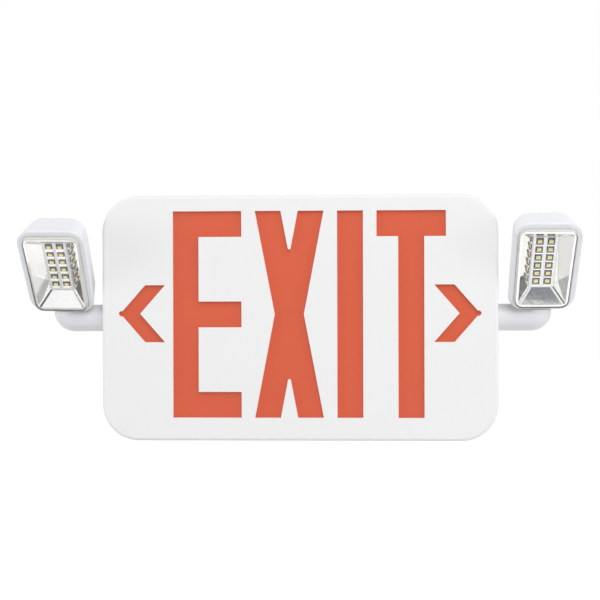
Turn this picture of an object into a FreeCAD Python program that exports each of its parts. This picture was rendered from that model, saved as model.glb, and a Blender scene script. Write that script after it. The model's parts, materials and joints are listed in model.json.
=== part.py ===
import FreeCAD, Part
import Sketcher
import math
import os
from FreeCAD import Placement, Rotation, Vector

# Wall-mounted emergency exit light.
#
# A shallow white housing carries a stencilled front cover, with a red legend
# panel and a white light tray behind it.  The back plate holds the battery and
# the charger board.  A swivelling elbow leaves each side of the housing and
# carries a lamp head that turns on the elbow's neck.
#
# Frame: +X to the right, -Y to the front, +Z up, in millimetres.  The origin is
# the centre of the wire entry hole, in the plane of the wall.

# Every driving dimension: (alias, number, what it is).  Lengths are in
# millimetres and angles in degrees.
DIMENSIONS = [
    # Housing and cover
    ("body_width", 292.0, "width of the housing and cover"),
    ("body_height", 181.0, "height of the housing and cover"),
    ("body_depth", 46.0, "wall plane to the front of the cover"),
    ("corner_radius", 27.0, "outer radius of the four body corners"),
    ("wall", 2.4, "side walls of the housing and cover"),
    ("face_thickness", 2.0, "stencilled face of the cover"),
    ("edge_radius", 2.5, "rounding round the front of the cover"),
    ("cover_depth", 10.0, "front of the cover to its back edge"),
    ("lip_length", 3.0, "how far the housing lip enters the cover"),
    ("rebate_wall", 1.2, "cover wall left outside the lip"),
    ("fit_gap", 0.15, "gap between plastic pieces that fit together"),
    ("run_gap", 0.3, "gap beside a piece that turns or slides"),
    ("snug_gap", 0.05, "gap round a screw or a clip"),
    # Legend
    ("letter_height", 152.4, "height of the legend letters"),
    ("letter_width", 50.8, "width of the letters E, X and T"),
    ("letter_stroke", 19.05, "stroke width of every letter"),
    ("letter_gap", 9.9, "gap between neighbouring letters"),
    ("legend_left", 93.3, "body centre to the left edge of the E"),
    ("legend_rise", 2.7, "body centre up to the middle of the letters"),
    ("cross_waist", 21.5, "width of the X at its middle"),
    ("notch_end", 1.8, "blunt end of the notches of the X"),
    ("chevron_reach", 132.6, "body centre to the point of a chevron"),
    ("chevron_height", 42.2, "height of a chevron"),
    ("chevron_slope", 18.5, "how far a chevron's arms sweep back"),
    ("chevron_stroke", 14.9, "width of a chevron's arms along X"),
    ("chevron_rise", 3.3, "body centre up to the points of the chevrons"),
    ("tip_tab_height", 3.8, "height of the tab slot at a chevron's point"),
    ("tip_tab_length", 1.3, "how far the tab slot stands past the point"),
    # Legend panel, light tray and their lamps
    ("panel_thickness", 1.5, "red legend panel"),
    ("panel_margin", 5.1, "cover's inner wall to the panel's edge"),
    ("panel_corner", 19.0, "corner radius of the legend panel"),
    ("pin_radius", 1.5, "pins of the cover that locate the panel"),
    ("pin_inset_across", 18.0, "body side to the pins"),
    ("pin_inset_up", 20.0, "body top to the pins"),
    ("pin_stand", 1.2, "how far a pin stands past the panel"),
    ("tray_margin", 2.0, "panel's edge to the tray's edge"),
    ("tray_depth", 7.5, "depth of the white light tray"),
    ("tray_wall", 1.3, "walls and floor of the light tray"),
    ("strip_length", 236.0, "length of a legend lamp strip"),
    ("strip_width", 5.4, "width of a legend lamp strip"),
    ("strip_thickness", 1.0, "thickness of a legend lamp strip"),
    ("strip_led_count", 14.0, "legend lamps on each strip"),
    ("strip_led_length", 3.5, "legend lamp along the strip"),
    ("strip_led_width", 2.8, "legend lamp across the strip"),
    ("strip_led_height", 1.4, "how far a legend lamp stands up"),
    # Housing details
    ("hook_spacing", 100.0, "spacing of the cover's snap hooks"),
    ("hook_width", 12.0, "width of a snap hook"),
    ("hook_thickness", 1.5, "thickness of a snap hook"),
    ("hook_length", 8.0, "how far a hook stands past the cover's edge"),
    ("hook_barb", 0.9, "height of a hook's barb"),
    ("hook_barb_length", 3.0, "length of a hook's barb"),
    ("post_spacing", 140.0, "spacing of the housing posts along X"),
    ("post_radius", 5.0, "radius of the housing posts"),
    ("post_inset", 4.0, "housing's inner wall to the posts' centres"),
    ("rib_thickness", 1.6, "stiffening ribs"),
    ("socket_radius", 13.0, "radius of the arm sockets"),
    ("socket_length", 6.0, "length of the arm sockets inside the wall"),
    # Back plate
    ("plate_thickness", 2.0, "back plate"),
    ("wire_hole_radius", 11.1, "wire entry hole"),
    ("screw_slot_spacing", 88.9, "wall screw slots, centre to centre"),
    ("screw_slot_length", 12.0, "length of a wall screw slot"),
    ("screw_slot_radius", 2.5, "half the width of a wall screw slot"),
    ("knockout_radius", 2.6, "scored knock-outs"),
    ("knockout_score", 0.5, "width of the score round a knock-out"),
    ("knockout_depth", 1.2, "depth of the score round a knock-out"),
    ("knockout_circle", 69.8, "circle of the upright knock-outs"),
    ("plate_rib_height", 4.0, "height of the ribs on the back plate"),
    ("plate_rib_inset", 12.0, "housing's inner wall to the upper rib"),
    ("plate_rib_rise", 22.5, "top of the battery up to the lower rib"),
    ("cradle_height", 8.0, "height of the ribs beside the battery"),
    # Battery
    ("cell_radius", 7.25, "radius of a battery cell"),
    ("cell_length", 50.0, "length of a battery cell"),
    ("cell_pitch", 14.2, "spacing of the cells in the pack"),
    ("cell_count", 4.0, "cells in the pack"),
    ("wrap_height", 9.0, "depth of the wrap between the cells"),
    ("battery_left", 112.0, "body centre to the left end of the pack"),
    ("battery_low", 70.0, "body centre down to the pack's lower edge"),
    ("strap_width", 12.0, "width of the battery strap"),
    ("strap_thickness", 1.0, "thickness of the battery strap"),
    ("strap_foot", 9.0, "length of a foot of the strap"),
    ("strap_boss_height", 4.0, "height of the strap's bosses"),
    # Charger board
    ("board_width", 92.0, "width of the charger board"),
    ("board_height", 54.0, "height of the charger board"),
    ("board_thickness", 1.6, "thickness of the charger board"),
    ("board_left", 32.0, "body centre to the left edge of the board"),
    ("board_low", 77.0, "body centre down to the board's lower edge"),
    ("board_stand", 6.0, "back plate to the charger board"),
    ("board_hole_inset", 4.5, "board's edge to its screw holes"),
    ("board_post_radius", 3.5, "posts under the charger board"),
    ("screw_radius", 1.4, "shank of the small screws"),
    ("screw_head_radius", 2.6, "head of the small screws"),
    ("screw_head_height", 1.5, "height of the small screws' heads"),
    ("screw_length", 5.0, "length of the small screws' shanks"),
    ("transformer_width", 28.0, "transformer along X"),
    ("transformer_height", 24.0, "transformer along Z"),
    ("transformer_depth", 19.0, "transformer standing off the board"),
    ("bobbin_margin", 4.0, "core's edge to the winding"),
    ("capacitor_radius", 5.0, "radius of a capacitor"),
    ("capacitor_height", 16.0, "height of a capacitor"),
    ("capacitor_pitch", 13.0, "spacing of the capacitors"),
    ("capacitor_count", 2.0, "capacitors in their row"),
    ("relay_width", 19.0, "relay along X"),
    ("relay_height", 15.0, "relay along Z"),
    ("relay_depth", 14.0, "relay standing off the board"),
    ("connector_width", 16.0, "wire connector along X"),
    ("connector_height", 9.0, "wire connector along Z"),
    ("connector_depth", 10.0, "wire connector standing off the board"),
    ("part_gap", 4.0, "gap between the parts on the board"),
    # Test button and status light
    ("button_across", 86.0, "body centre to the test button"),
    ("button_radius", 4.5, "radius of the test button"),
    ("button_recess", 0.5, "button's face inside the bottom wall"),
    ("button_flange_radius", 6.4, "flange that keeps the button in"),
    ("button_flange", 1.5, "thickness of the button's flange"),
    ("button_stem_radius", 2.0, "stem that works the switch"),
    ("button_travel", 2.5, "travel of the test button"),
    ("stem_depth", 3.0, "how far the stem reaches into the switch"),
    ("switch_size", 12.0, "test switch along X"),
    ("switch_height", 9.0, "test switch along Z"),
    ("switch_depth", 8.0, "test switch standing off the board"),
    ("light_across", 104.0, "body centre to the status light"),
    ("light_radius", 2.5, "radius of the status light"),
    ("light_flange", 0.6, "flange round the foot of the status light"),
    # Elbow arms
    ("arm_radius", 10.0, "outer radius of the elbow"),
    ("arm_reach", 30.1, "body side to the neck axis"),
    ("bend_radius", 5.5, "centreline radius of the elbow's bend"),
    ("journal_radius", 8.0, "arm where it turns in the housing"),
    ("journal_gap", 0.15, "running gap round the journals"),
    ("journal_end", 5.0, "how far the journal stands past its socket"),
    ("washer_radius", 10.2, "friction washer of the arm"),
    ("washer_thickness", 0.8, "friction washers"),
    ("clip_radius", 9.6, "retaining clip of the arm"),
    ("clip_thickness", 1.0, "retaining clips"),
    ("clip_groove", 1.0, "depth of the grooves for the clips"),
    ("clip_mouth", 8.0, "opening of the arm's clip"),
    ("wire_bore", 3.2, "radius of the wire passage"),
    # Neck, measured up the neck axis from the arm axis
    ("shoulder_rise", 7.6, "arm axis up to the elbow's shoulder"),
    ("shoulder_radius", 7.2, "radius of the elbow's shoulder"),
    ("shoulder_slope", 0.6, "fall of the elbow's top for each step outwards"),
    ("spigot_radius", 5.0, "spigot that the head turns on"),
    ("neck_radius", 6.8, "boss of the head round the spigot"),
    ("neck_seat", 19.2, "arm axis up to the seat inside the head"),
    ("neck_washer_radius", 5.9, "friction washer and clip of the neck"),
    ("neck_clip_mouth", 4.0, "opening of the neck's clip"),
    ("spigot_end", 1.0, "how far the spigot stands past its clip"),
    # Lamp heads.  Depths are measured from the plane of the lamps.
    ("head_slant", 28.0, "lens leans forward, against the neck axis"),
    ("head_forward", 21.0, "neck axis to the middle of the lamps"),
    ("head_rise", 42.15, "arm axis to the middle of the lamps"),
    ("shell_top_width", 52.2, "rim of the shell, at its top"),
    ("shell_bottom_width", 49.6, "rim of the shell, at its bottom"),
    ("shell_above", 34.4, "middle of the lamps up to the shell's top"),
    ("shell_below", 36.9, "middle of the lamps down to its bottom"),
    ("shell_corner", 12.0, "corner radius of the shell"),
    ("rim_forward", 7.3, "lamps to the rim of the shell"),
    ("shell_back", 17.2, "lamps to the back of the shell"),
    ("back_inset_side", 4.5, "shell narrows by this on each side"),
    ("back_inset_end", 2.2, "shell narrows by this at top and bottom"),
    ("back_rounding", 5.5, "rounding round the back of the shell"),
    ("rim_rounding", 1.0, "rounding round the rim of the shell"),
    ("shell_wall", 2.0, "wall of the shell"),
    ("seat_depth", 3.0, "rim to the ledge that the lens sits on"),
    ("ledge_thickness", 1.6, "ledge that the lens sits on"),
    ("ledge_width", 4.0, "width of that ledge"),
    ("lens_top_width", 43.8, "lens, at its top"),
    ("lens_bottom_width", 41.3, "lens, at its bottom"),
    ("lens_above", 30.2, "middle of the lamps up to the lens's top"),
    ("lens_below", 35.0, "middle of the lamps down to its bottom"),
    ("lens_corner", 6.8, "corner radius of the lens"),
    ("lens_forward", 10.4, "lamps to the front of the lens"),
    ("lens_wall", 1.4, "wall of the lens"),
    ("lens_rounding", 1.5, "rounding round the front of the lens"),
    ("reflector_wall", 0.8, "sheet of the reflector"),
    ("reflector_rim", 3.1, "lens's edge to the mouth of the reflector"),
    ("reflector_seam", 2.4, "rounding between the reflector's faces"),
    ("window_width", 18.6, "floor of the reflector"),
    ("window_above", 20.3, "lamps' middle up to the floor's top"),
    ("window_below", 22.0, "lamps' middle down to the floor's bottom"),
    ("led_rows", 6.0, "rows of lamps"),
    ("led_columns", 2.0, "columns of lamps"),
    ("led_row_pitch", 6.55, "spacing of the rows"),
    ("led_column_pitch", 8.35, "spacing of the columns"),
    ("led_width", 3.5, "lamp along X"),
    ("led_height", 2.8, "lamp along Z"),
    ("led_thickness", 0.7, "how far a lamp stands off its board"),
    ("lamp_board_thickness", 1.2, "lamp board"),
    ("lamp_board_width", 36.0, "lamp board along X"),
    ("lamp_board_above", 26.5, "lamps' middle up to the board's top"),
    ("lamp_board_below", 27.0, "lamps' middle down to its bottom"),
    ("lamp_screw_across", 14.8, "middle to the lamp board's screws"),
    ("lamp_screw_inset", 3.5, "board's end to its screws"),
    ("lamp_screw_radius", 1.1, "shank of the lamp board's screws"),
    ("lamp_screw_head", 1.9, "head of the lamp board's screws"),
    ("lamp_screw_height", 0.7, "height of their heads"),
    ("lamp_boss_radius", 2.6, "bosses under the lamp board"),
    # How the lamps are aimed
    ("left_pitch", 7.0, "left arm leans forward"),
    ("right_pitch", 2.0, "right arm leans forward"),
    ("left_turn", 6.0, "left head looks outwards"),
    ("right_turn", 7.0, "right head looks outwards"),
]

FULL_TURN = 360.0
QUARTER_TURN = 90.0
DIAGONAL = 45.0
CUT_OVERRUN = 1.0  # how far a cut runs past what it cuts
CLOSE = 1e-4  # lengths nearer than this count as equal
X_AXIS = Vector(1, 0, 0)
Y_AXIS = Vector(0, 1, 0)
Z_AXIS = Vector(0, 0, 1)
RIGHT = 1
LEFT = -1
TOP = 1
BOTTOM = -1
SIDE_NAME = {RIGHT: "right", LEFT: "left"}

doc = FreeCAD.newDocument("ExitLight")


# ---------------------------------------------------------------- dimensions

class Size:
    """A number together with the spreadsheet formula that gives it."""

    def __init__(self, number, formula):
        self.number = number
        self.formula = formula

    def __add__(self, other):
        other = as_size(other)
        return Size(self.number + other.number, f"({self.formula} + {other.formula})")

    def __sub__(self, other):
        other = as_size(other)
        return Size(self.number - other.number, f"({self.formula} - {other.formula})")

    def __mul__(self, other):
        other = as_size(other)
        return Size(self.number * other.number, f"({self.formula} * {other.formula})")

    def __truediv__(self, other):
        other = as_size(other)
        return Size(self.number / other.number, f"({self.formula} / {other.formula})")

    def __neg__(self):
        return Size(-self.number, f"(0 - {self.formula})")


def as_size(value):
    return value if isinstance(value, Size) else Size(value, repr(float(value)))


class Dimensions:
    """The spreadsheet's cells as Size attributes, such as dim.wall."""

    def __init__(self):
        self.sheet = doc.addObject("Spreadsheet::Sheet", "Sizes")
        for row, (alias, number, words) in enumerate(DIMENSIONS, start=1):
            self.sheet.set(f"A{row}", words)
            self.sheet.set(f"B{row}", str(number))
            self.sheet.setAlias(f"B{row}", alias)
            setattr(self, alias, Size(number, f"Sizes.{alias}"))


dim = Dimensions()
doc.recompute()
half_width = dim.body_width / 2
half_height = dim.body_height / 2
ZERO = as_size(0)


def bind(target, **properties):
    """Bind properties of a feature to the spreadsheet."""
    for name, value in properties.items():
        target.setExpression(name, as_size(value).formula)


# ------------------------------------------------------------------ sketches

def new_body(label):
    body = doc.addObject("PartDesign::Body", label)
    body.Label = label
    return body


def new_sketch(body, plane, distance=ZERO):
    """A sketch on one of the body's own planes, moved along its normal.

    XZ_Plane looks along -Y, with X to the right and Z up.  YZ_Plane looks
    along +X, with Y to the right.  XY_Plane looks along +Z.
    """
    sketch = body.newObject("Sketcher::SketchObject", "Sketch")
    for feature in body.Origin.OriginFeatures:
        if feature.Role == plane:
            sketch.AttachmentSupport = [(feature, "")]
    sketch.MapMode = "FlatFace"
    sketch.setExpression("AttachmentOffset.Base.z", as_size(distance).formula)
    return sketch


def place_point(sketch, geometry, point, across, up):
    """Hold a point of the sketch at (across, up), both Size values."""
    for kind, value in (("DistanceX", across), ("DistanceY", up)):
        number = sketch.addConstraint(Sketcher.Constraint(kind, geometry, point, value.number))
        sketch.setExpression(f"Constraints[{number}]", value.formula)


def draw_outline(sketch, corners):
    """A closed outline with straight sides through the (across, up) corners."""
    corners = [(as_size(across), as_size(up)) for across, up in corners]
    vectors = [Vector(across.number, up.number, 0) for across, up in corners]
    ends = vectors[1:] + vectors[:1]
    lines = [sketch.addGeometry(Part.LineSegment(a, b)) for a, b in zip(vectors, ends)]
    for line, following in zip(lines, lines[1:] + lines[:1]):
        sketch.addConstraint(Sketcher.Constraint("Coincident", line, 2, following, 1))
    for line, (across, up) in zip(lines, corners):
        place_point(sketch, line, 1, across, up)


def draw_rectangle(sketch, left, right, low, high):
    draw_outline(sketch, [(left, low), (right, low), (right, high), (left, high)])


def draw_circle(sketch, across, up, radius):
    across, up, radius = as_size(across), as_size(up), as_size(radius)
    centre = Vector(across.number, up.number, 0)
    circle = sketch.addGeometry(Part.Circle(centre, Z_AXIS, radius.number))
    place_point(sketch, circle, 3, across, up)
    number = sketch.addConstraint(Sketcher.Constraint("Radius", circle, radius.number))
    sketch.setExpression(f"Constraints[{number}]", radius.formula)


def draw_soft_outline(sketch, corners, radius):
    """A closed convex outline, anticlockwise, with the same round at every corner.

    A construction point stands at each sharp corner and lies on both of the
    sides that meet there, so the corners' Size values hold the whole outline.
    """
    corners = [(as_size(across), as_size(up)) for across, up in corners]
    radius = as_size(radius)
    points = [Vector(across.number, up.number, 0) for across, up in corners]
    rounds = []
    for number, point in enumerate(points):
        to_last = (points[number - 1] - point).normalize()
        to_next = (points[(number + 1) % len(points)] - point).normalize()
        half_angle = to_last.getAngle(to_next) / 2
        reach = radius.number / math.tan(half_angle)
        centre = point + (to_last + to_next).normalize() * (radius.number / math.sin(half_angle))
        rounds.append((point + to_last * reach, point + to_next * reach, centre))

    lines, arcs = [], []
    for number, (first, last, centre) in enumerate(rounds):
        following = rounds[(number + 1) % len(rounds)]
        start = math.atan2(first.y - centre.y, first.x - centre.x)
        end = math.atan2(last.y - centre.y, last.x - centre.x)
        circle = Part.Circle(centre, Z_AXIS, radius.number)
        arcs.append(sketch.addGeometry(Part.ArcOfCircle(circle, start, end)))
        lines.append(sketch.addGeometry(Part.LineSegment(last, following[0])))
    for number, (arc, line) in enumerate(zip(arcs, lines)):
        sketch.addConstraint(Sketcher.Constraint("Tangent", arc, 2, line, 1))
        sketch.addConstraint(Sketcher.Constraint("Tangent", lines[number - 1], 2, arc, 1))
    for number, (across, up) in enumerate(corners):
        corner = sketch.addGeometry(Part.Point(points[number]), True)
        place_point(sketch, corner, 1, across, up)
        for line in (lines[number - 1], lines[number]):
            sketch.addConstraint(Sketcher.Constraint("PointOnObject", corner, 1, line))
    held = sketch.addConstraint(Sketcher.Constraint("Radius", arcs[0], radius.number))
    sketch.setExpression(f"Constraints[{held}]", radius.formula)
    for arc in arcs[1:]:
        sketch.addConstraint(Sketcher.Constraint("Equal", arcs[0], arc))


def draw_rounded(sketch, half_across, half_up, radius, across=ZERO, up=ZERO):
    """A rectangle with round corners, about the point (across, up)."""
    left, right = across - half_across, across + half_across
    low, high = up - half_up, up + half_up
    draw_soft_outline(sketch, [(left, low), (right, low), (right, high), (left, high)], radius)


def draw_slot(sketch, across, half_length, radius):
    """A slot along the X axis with round ends, about the point across."""
    left, right = across - half_length + radius, across + half_length - radius
    r, quarter = radius.number, math.pi / 2
    first, last = Vector(left.number, 0, 0), Vector(right.number, 0, 0)
    rise = Vector(0, r, 0)
    low = sketch.addGeometry(Part.LineSegment(first - rise, last - rise))
    right_end = sketch.addGeometry(Part.ArcOfCircle(Part.Circle(last, Z_AXIS, r), -quarter, quarter))
    high = sketch.addGeometry(Part.LineSegment(last + rise, first + rise))
    left_end = sketch.addGeometry(
        Part.ArcOfCircle(Part.Circle(first, Z_AXIS, r), quarter, 3 * quarter))
    parts = [low, right_end, high, left_end]
    for part, following in zip(parts, parts[1:] + parts[:1]):
        sketch.addConstraint(Sketcher.Constraint("Tangent", part, 2, following, 1))
    place_point(sketch, left_end, 3, left, ZERO)
    place_point(sketch, right_end, 3, right, ZERO)
    number = sketch.addConstraint(Sketcher.Constraint("Radius", right_end, r))
    sketch.setExpression(f"Constraints[{number}]", radius.formula)


def draw_half_disc(sketch, across, radius):
    """The upper half of a disc, whose straight side lies on the X axis."""
    centre = Vector(across.number, 0, 0)
    reach = Vector(radius.number, 0, 0)
    arc = sketch.addGeometry(Part.ArcOfCircle(Part.Circle(centre, Z_AXIS, radius.number), 0, math.pi))
    line = sketch.addGeometry(Part.LineSegment(centre - reach, centre + reach))
    sketch.addConstraint(Sketcher.Constraint("Coincident", arc, 1, line, 2))
    sketch.addConstraint(Sketcher.Constraint("Coincident", arc, 2, line, 1))
    place_point(sketch, arc, 3, across, ZERO)
    sketch.addConstraint(Sketcher.Constraint("PointOnObject", line, 1, -1))
    sketch.addConstraint(Sketcher.Constraint("PointOnObject", line, 2, -1))
    number = sketch.addConstraint(Sketcher.Constraint("Radius", arc, radius.number))
    sketch.setExpression(f"Constraints[{number}]", radius.formula)


def draw_keystone(sketch, top_width, bottom_width, below, above, radius=None):
    """The outline of a lamp head: wider at its top, with sharp or round corners."""
    half_top, half_bottom = top_width / 2, bottom_width / 2
    corners = [(-half_bottom, -below), (half_bottom, -below), (half_top, above), (-half_top, above)]
    if radius is None:
        draw_outline(sketch, corners)
    else:
        draw_soft_outline(sketch, corners, radius)


# ------------------------------------------------------------------ features

def pad(body, sketch, length, backwards=False):
    """Add the sketch, drawn out along its normal or against it."""
    feature = body.newObject("PartDesign::Pad", "Pad")
    feature.Profile = sketch
    feature.Reversed = backwards
    bind(feature, Length=length)
    return finish_feature(body, feature)


def pocket(body, sketch, length, forwards=False):
    """Cut the sketch away, against its normal or along it."""
    feature = body.newObject("PartDesign::Pocket", "Pocket")
    feature.Profile = sketch
    feature.Reversed = forwards
    bind(feature, Length=length)
    return finish_feature(body, feature)


def turn(body, sketch, kind="PartDesign::Revolution", axis="V_Axis"):
    """Revolve or groove the sketch a full turn round one of its own axes."""
    feature = body.newObject(kind, "Turned")
    feature.Profile = sketch
    feature.ReferenceAxis = (sketch, [axis])
    feature.Angle = FULL_TURN
    return finish_feature(body, feature)


def loft(body, first, last, kind="PartDesign::AdditiveLoft"):
    feature = body.newObject(kind, "Loft")
    feature.Profile = first
    feature.Sections = [last]
    feature.Ruled = True
    return finish_feature(body, feature)


def round_edges(body, wanted, radius):
    """Fillet the edges of the body for which wanted(edge) is true."""
    base = body.Tip
    names = [f"Edge{number}" for number, edge in enumerate(base.Shape.Edges, start=1) if wanted(edge)]
    feature = body.newObject("PartDesign::Fillet", "Fillet")
    feature.Base = (base, names)
    bind(feature, Radius=radius)
    return finish_feature(body, feature)


def finish_feature(body, feature):
    """Build the feature, make it the tip and make sure that it is sound."""
    doc.recompute()
    if feature.Shape.isNull() or not feature.Shape.isValid():
        raise RuntimeError(f"{body.Label}: {feature.Name} failed")
    body.Tip = feature
    return feature


def near(value, target):
    return abs(value - target) < CLOSE


def lies_at_depth(edge, depth):
    """True if the whole edge lies in the plane Y = depth."""
    return near(edge.BoundBox.YMin, depth) and near(edge.BoundBox.YMax, depth)


def spans_depth(edge, first, last):
    """True if the edge runs all the way between the planes Y = first and Y = last."""
    bounds = edge.BoundBox
    return near(bounds.YMin, min(first, last)) and near(bounds.YMax, max(first, last))


def compound(label, members):
    group = doc.addObject("Part::Compound", label)
    group.Label = label
    group.Links = members
    doc.recompute()
    return group


def box(label, left, front, low, width, depth, height):
    """A block from its left, front, low corner."""
    block = doc.addObject("Part::Box", label)
    block.Label = label
    bind(block, Length=width, Width=depth, Height=height)
    for axis, value in (("x", left), ("y", front), ("z", low)):
        block.setExpression(f"Placement.Base.{axis}", as_size(value).formula)
    return block


def cylinder(label, centre, radius, height, direction=Z_AXIS):
    """A cylinder that starts at centre and runs along direction."""
    rod = doc.addObject("Part::Cylinder", label)
    rod.Label = label
    bind(rod, Radius=radius, Height=height)
    rod.Placement = Placement(Vector(), Rotation(Z_AXIS, direction))
    for axis, value in zip("xyz", centre):
        rod.setExpression(f"Placement.Base.{axis}", as_size(value).formula)
    return rod


# ------------------------------------------------------------- front cover

cover_back = dim.body_depth - dim.cover_depth
face_inside = dim.body_depth - dim.face_thickness
inner_half_width = half_width - dim.wall
inner_half_height = half_height - dim.wall
inner_corner = dim.corner_radius - dim.wall


def letter_e(left, low):
    right, high = left + dim.letter_width, low + dim.letter_height
    stem = left + dim.letter_stroke
    middle_low = low + dim.letter_height / 2 - dim.letter_stroke / 2
    return [(left, low), (right, low), (right, low + dim.letter_stroke),
            (stem, low + dim.letter_stroke), (stem, middle_low), (right, middle_low),
            (right, middle_low + dim.letter_stroke), (stem, middle_low + dim.letter_stroke),
            (stem, high - dim.letter_stroke), (right, high - dim.letter_stroke),
            (right, high), (left, high)]


def letter_x(left, low):
    """Two crossed strokes whose outer edges meet at the waist."""
    half_letter = dim.letter_width / 2
    middle, waist_level = left + half_letter, low + dim.letter_height / 2
    half_waist, half_notch = dim.cross_waist / 2, dim.notch_end / 2
    inner = half_letter - dim.letter_stroke
    notch = (inner - half_notch) * (dim.letter_height / 2) / (half_letter - half_waist)
    right, high = left + dim.letter_width, low + dim.letter_height
    return [(left, low), (middle - inner, low),
            (middle - half_notch, low + notch), (middle + half_notch, low + notch),
            (middle + inner, low), (right, low), (middle + half_waist, waist_level),
            (right, high), (middle + inner, high),
            (middle + half_notch, high - notch), (middle - half_notch, high - notch),
            (middle - inner, high), (left, high), (middle - half_waist, waist_level)]


def letter_i(left, low):
    right, high = left + dim.letter_stroke, low + dim.letter_height
    return [(left, low), (right, low), (right, high), (left, high)]


def letter_t(left, low):
    right, high = left + dim.letter_width, low + dim.letter_height
    bar_low = high - dim.letter_stroke
    stem_left = left + dim.letter_width / 2 - dim.letter_stroke / 2
    stem_right = stem_left + dim.letter_stroke
    return [(stem_left, low), (stem_right, low), (stem_right, bar_low), (right, bar_low),
            (right, high), (left, high), (left, bar_low), (stem_left, bar_low)]


def chevron(side):
    """An arrowhead that points to its side, with a small tab slot at its point."""
    def across(distance):
        return distance * side

    point, rise = dim.chevron_reach, dim.chevron_rise
    half_tall, half_tab = dim.chevron_height / 2, dim.tip_tab_height / 2
    back = point - dim.chevron_slope
    tab_root = point - half_tab * dim.chevron_slope / half_tall
    return [(across(tab_root), rise - half_tab), (across(point), rise - half_tab),
            (across(point + dim.tip_tab_length), rise), (across(point), rise + half_tab),
            (across(tab_root), rise + half_tab), (across(back), rise + half_tall),
            (across(back - dim.chevron_stroke), rise + half_tall),
            (across(point - dim.chevron_stroke), rise),
            (across(back - dim.chevron_stroke), rise - half_tall),
            (across(back), rise - half_tall)]


def legend_outlines():
    """The letters from left to right, then both chevrons."""
    low = dim.legend_rise - dim.letter_height / 2
    left_of_x = dim.letter_width + dim.letter_gap - dim.legend_left
    left_of_i = left_of_x + dim.letter_width + dim.letter_gap
    left_of_t = left_of_i + dim.letter_stroke + dim.letter_gap
    return [letter_e(-dim.legend_left, low), letter_x(left_of_x, low), letter_i(left_of_i, low),
            letter_t(left_of_t, low), chevron(LEFT), chevron(RIGHT)]


def pin_places():
    """Where the cover's four pins hold the legend panel, as (across, up)."""
    across = half_width - dim.pin_inset_across
    up = half_height - dim.pin_inset_up
    return [(across * side, up * level) for side in (RIGHT, LEFT) for level in (TOP, BOTTOM)]


def hook_places():
    return [dim.hook_spacing * step for step in (-1, 0, 1)]


def hook_profile(level):
    """A hook at the TOP or BOTTOM level, drawn in the YZ plane.

    It starts inside the cover, runs back past its edge and ends in a barb
    that faces the wall of the housing.
    """
    outside = inner_half_height - dim.run_gap
    inside = outside - dim.hook_thickness
    front = -face_inside
    root = -(cover_back + dim.rebate_wall)
    tip = dim.hook_length - cover_back
    barb = tip - dim.hook_barb_length
    corners = [(front, inner_half_height + dim.fit_gap), (front, inside), (tip, inside),
               (tip, outside), (barb, outside + dim.hook_barb), (barb, outside),
               (root - dim.lip_length, outside), (root - dim.lip_length, inner_half_height + dim.fit_gap)]
    return [(along, up * level) for along, up in corners]


def front_cover():
    """A shallow pan with the legend cut through its face."""
    body = new_body("front_cover")
    outline = new_sketch(body, "XZ_Plane", cover_back)
    draw_rounded(outline, half_width, half_height, dim.corner_radius)
    pad(body, outline, dim.cover_depth)
    front = -dim.body_depth.number
    round_edges(body, lambda edge: lies_at_depth(edge, front), dim.edge_radius)

    hollow = new_sketch(body, "XZ_Plane", cover_back)
    draw_rounded(hollow, inner_half_width, inner_half_height, inner_corner)
    pocket(body, hollow, dim.cover_depth - dim.face_thickness, forwards=True)

    rebate = new_sketch(body, "XZ_Plane", cover_back)
    draw_rounded(rebate, half_width - dim.rebate_wall, half_height - dim.rebate_wall,
                 dim.corner_radius - dim.rebate_wall)
    pocket(body, rebate, dim.lip_length + dim.fit_gap, forwards=True)

    legend = new_sketch(body, "XZ_Plane", dim.body_depth)
    for corners in legend_outlines():
        draw_outline(legend, corners)
    pocket(body, legend, dim.face_thickness)

    pins = new_sketch(body, "XZ_Plane", face_inside)
    for across, up in pin_places():
        draw_circle(pins, across, up, dim.pin_radius)
    pad(body, pins, dim.panel_thickness + dim.pin_stand, backwards=True)

    for across in hook_places():
        hooks = new_sketch(body, "YZ_Plane", across - dim.hook_width / 2)
        draw_outline(hooks, hook_profile(TOP))
        draw_outline(hooks, hook_profile(BOTTOM))
        pad(body, hooks, dim.hook_width)
    return body


# --------------------------------------------- legend panel, tray and strips

panel_half_width = inner_half_width - dim.panel_margin
panel_half_height = inner_half_height - dim.panel_margin
panel_back = face_inside - dim.panel_thickness
tray_half_width = panel_half_width - dim.tray_margin
tray_half_height = panel_half_height - dim.tray_margin
tray_corner = dim.panel_corner - dim.tray_margin
tray_back = panel_back - dim.tray_depth
strip_level = tray_half_height - dim.tray_wall - dim.strip_thickness


def legend_panel():
    """The red translucent sheet behind the stencil."""
    body = new_body("legend_panel")
    outline = new_sketch(body, "XZ_Plane", panel_back)
    draw_rounded(outline, panel_half_width, panel_half_height, dim.panel_corner)
    pad(body, outline, dim.panel_thickness)
    holes = new_sketch(body, "XZ_Plane", face_inside)
    for across, up in pin_places():
        draw_circle(holes, across, up, dim.pin_radius + dim.fit_gap)
    pocket(body, holes, dim.panel_thickness)
    return body


def light_tray():
    """The white pan that spreads the light behind the legend panel."""
    body = new_body("light_tray")
    outline = new_sketch(body, "XZ_Plane", tray_back)
    draw_rounded(outline, tray_half_width, tray_half_height, tray_corner)
    pad(body, outline, dim.tray_depth)
    hollow = new_sketch(body, "XZ_Plane", panel_back)
    draw_rounded(hollow, tray_half_width - dim.tray_wall, tray_half_height - dim.tray_wall,
                 tray_corner - dim.tray_wall)
    pocket(body, hollow, dim.tray_depth - dim.tray_wall)
    return body


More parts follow.
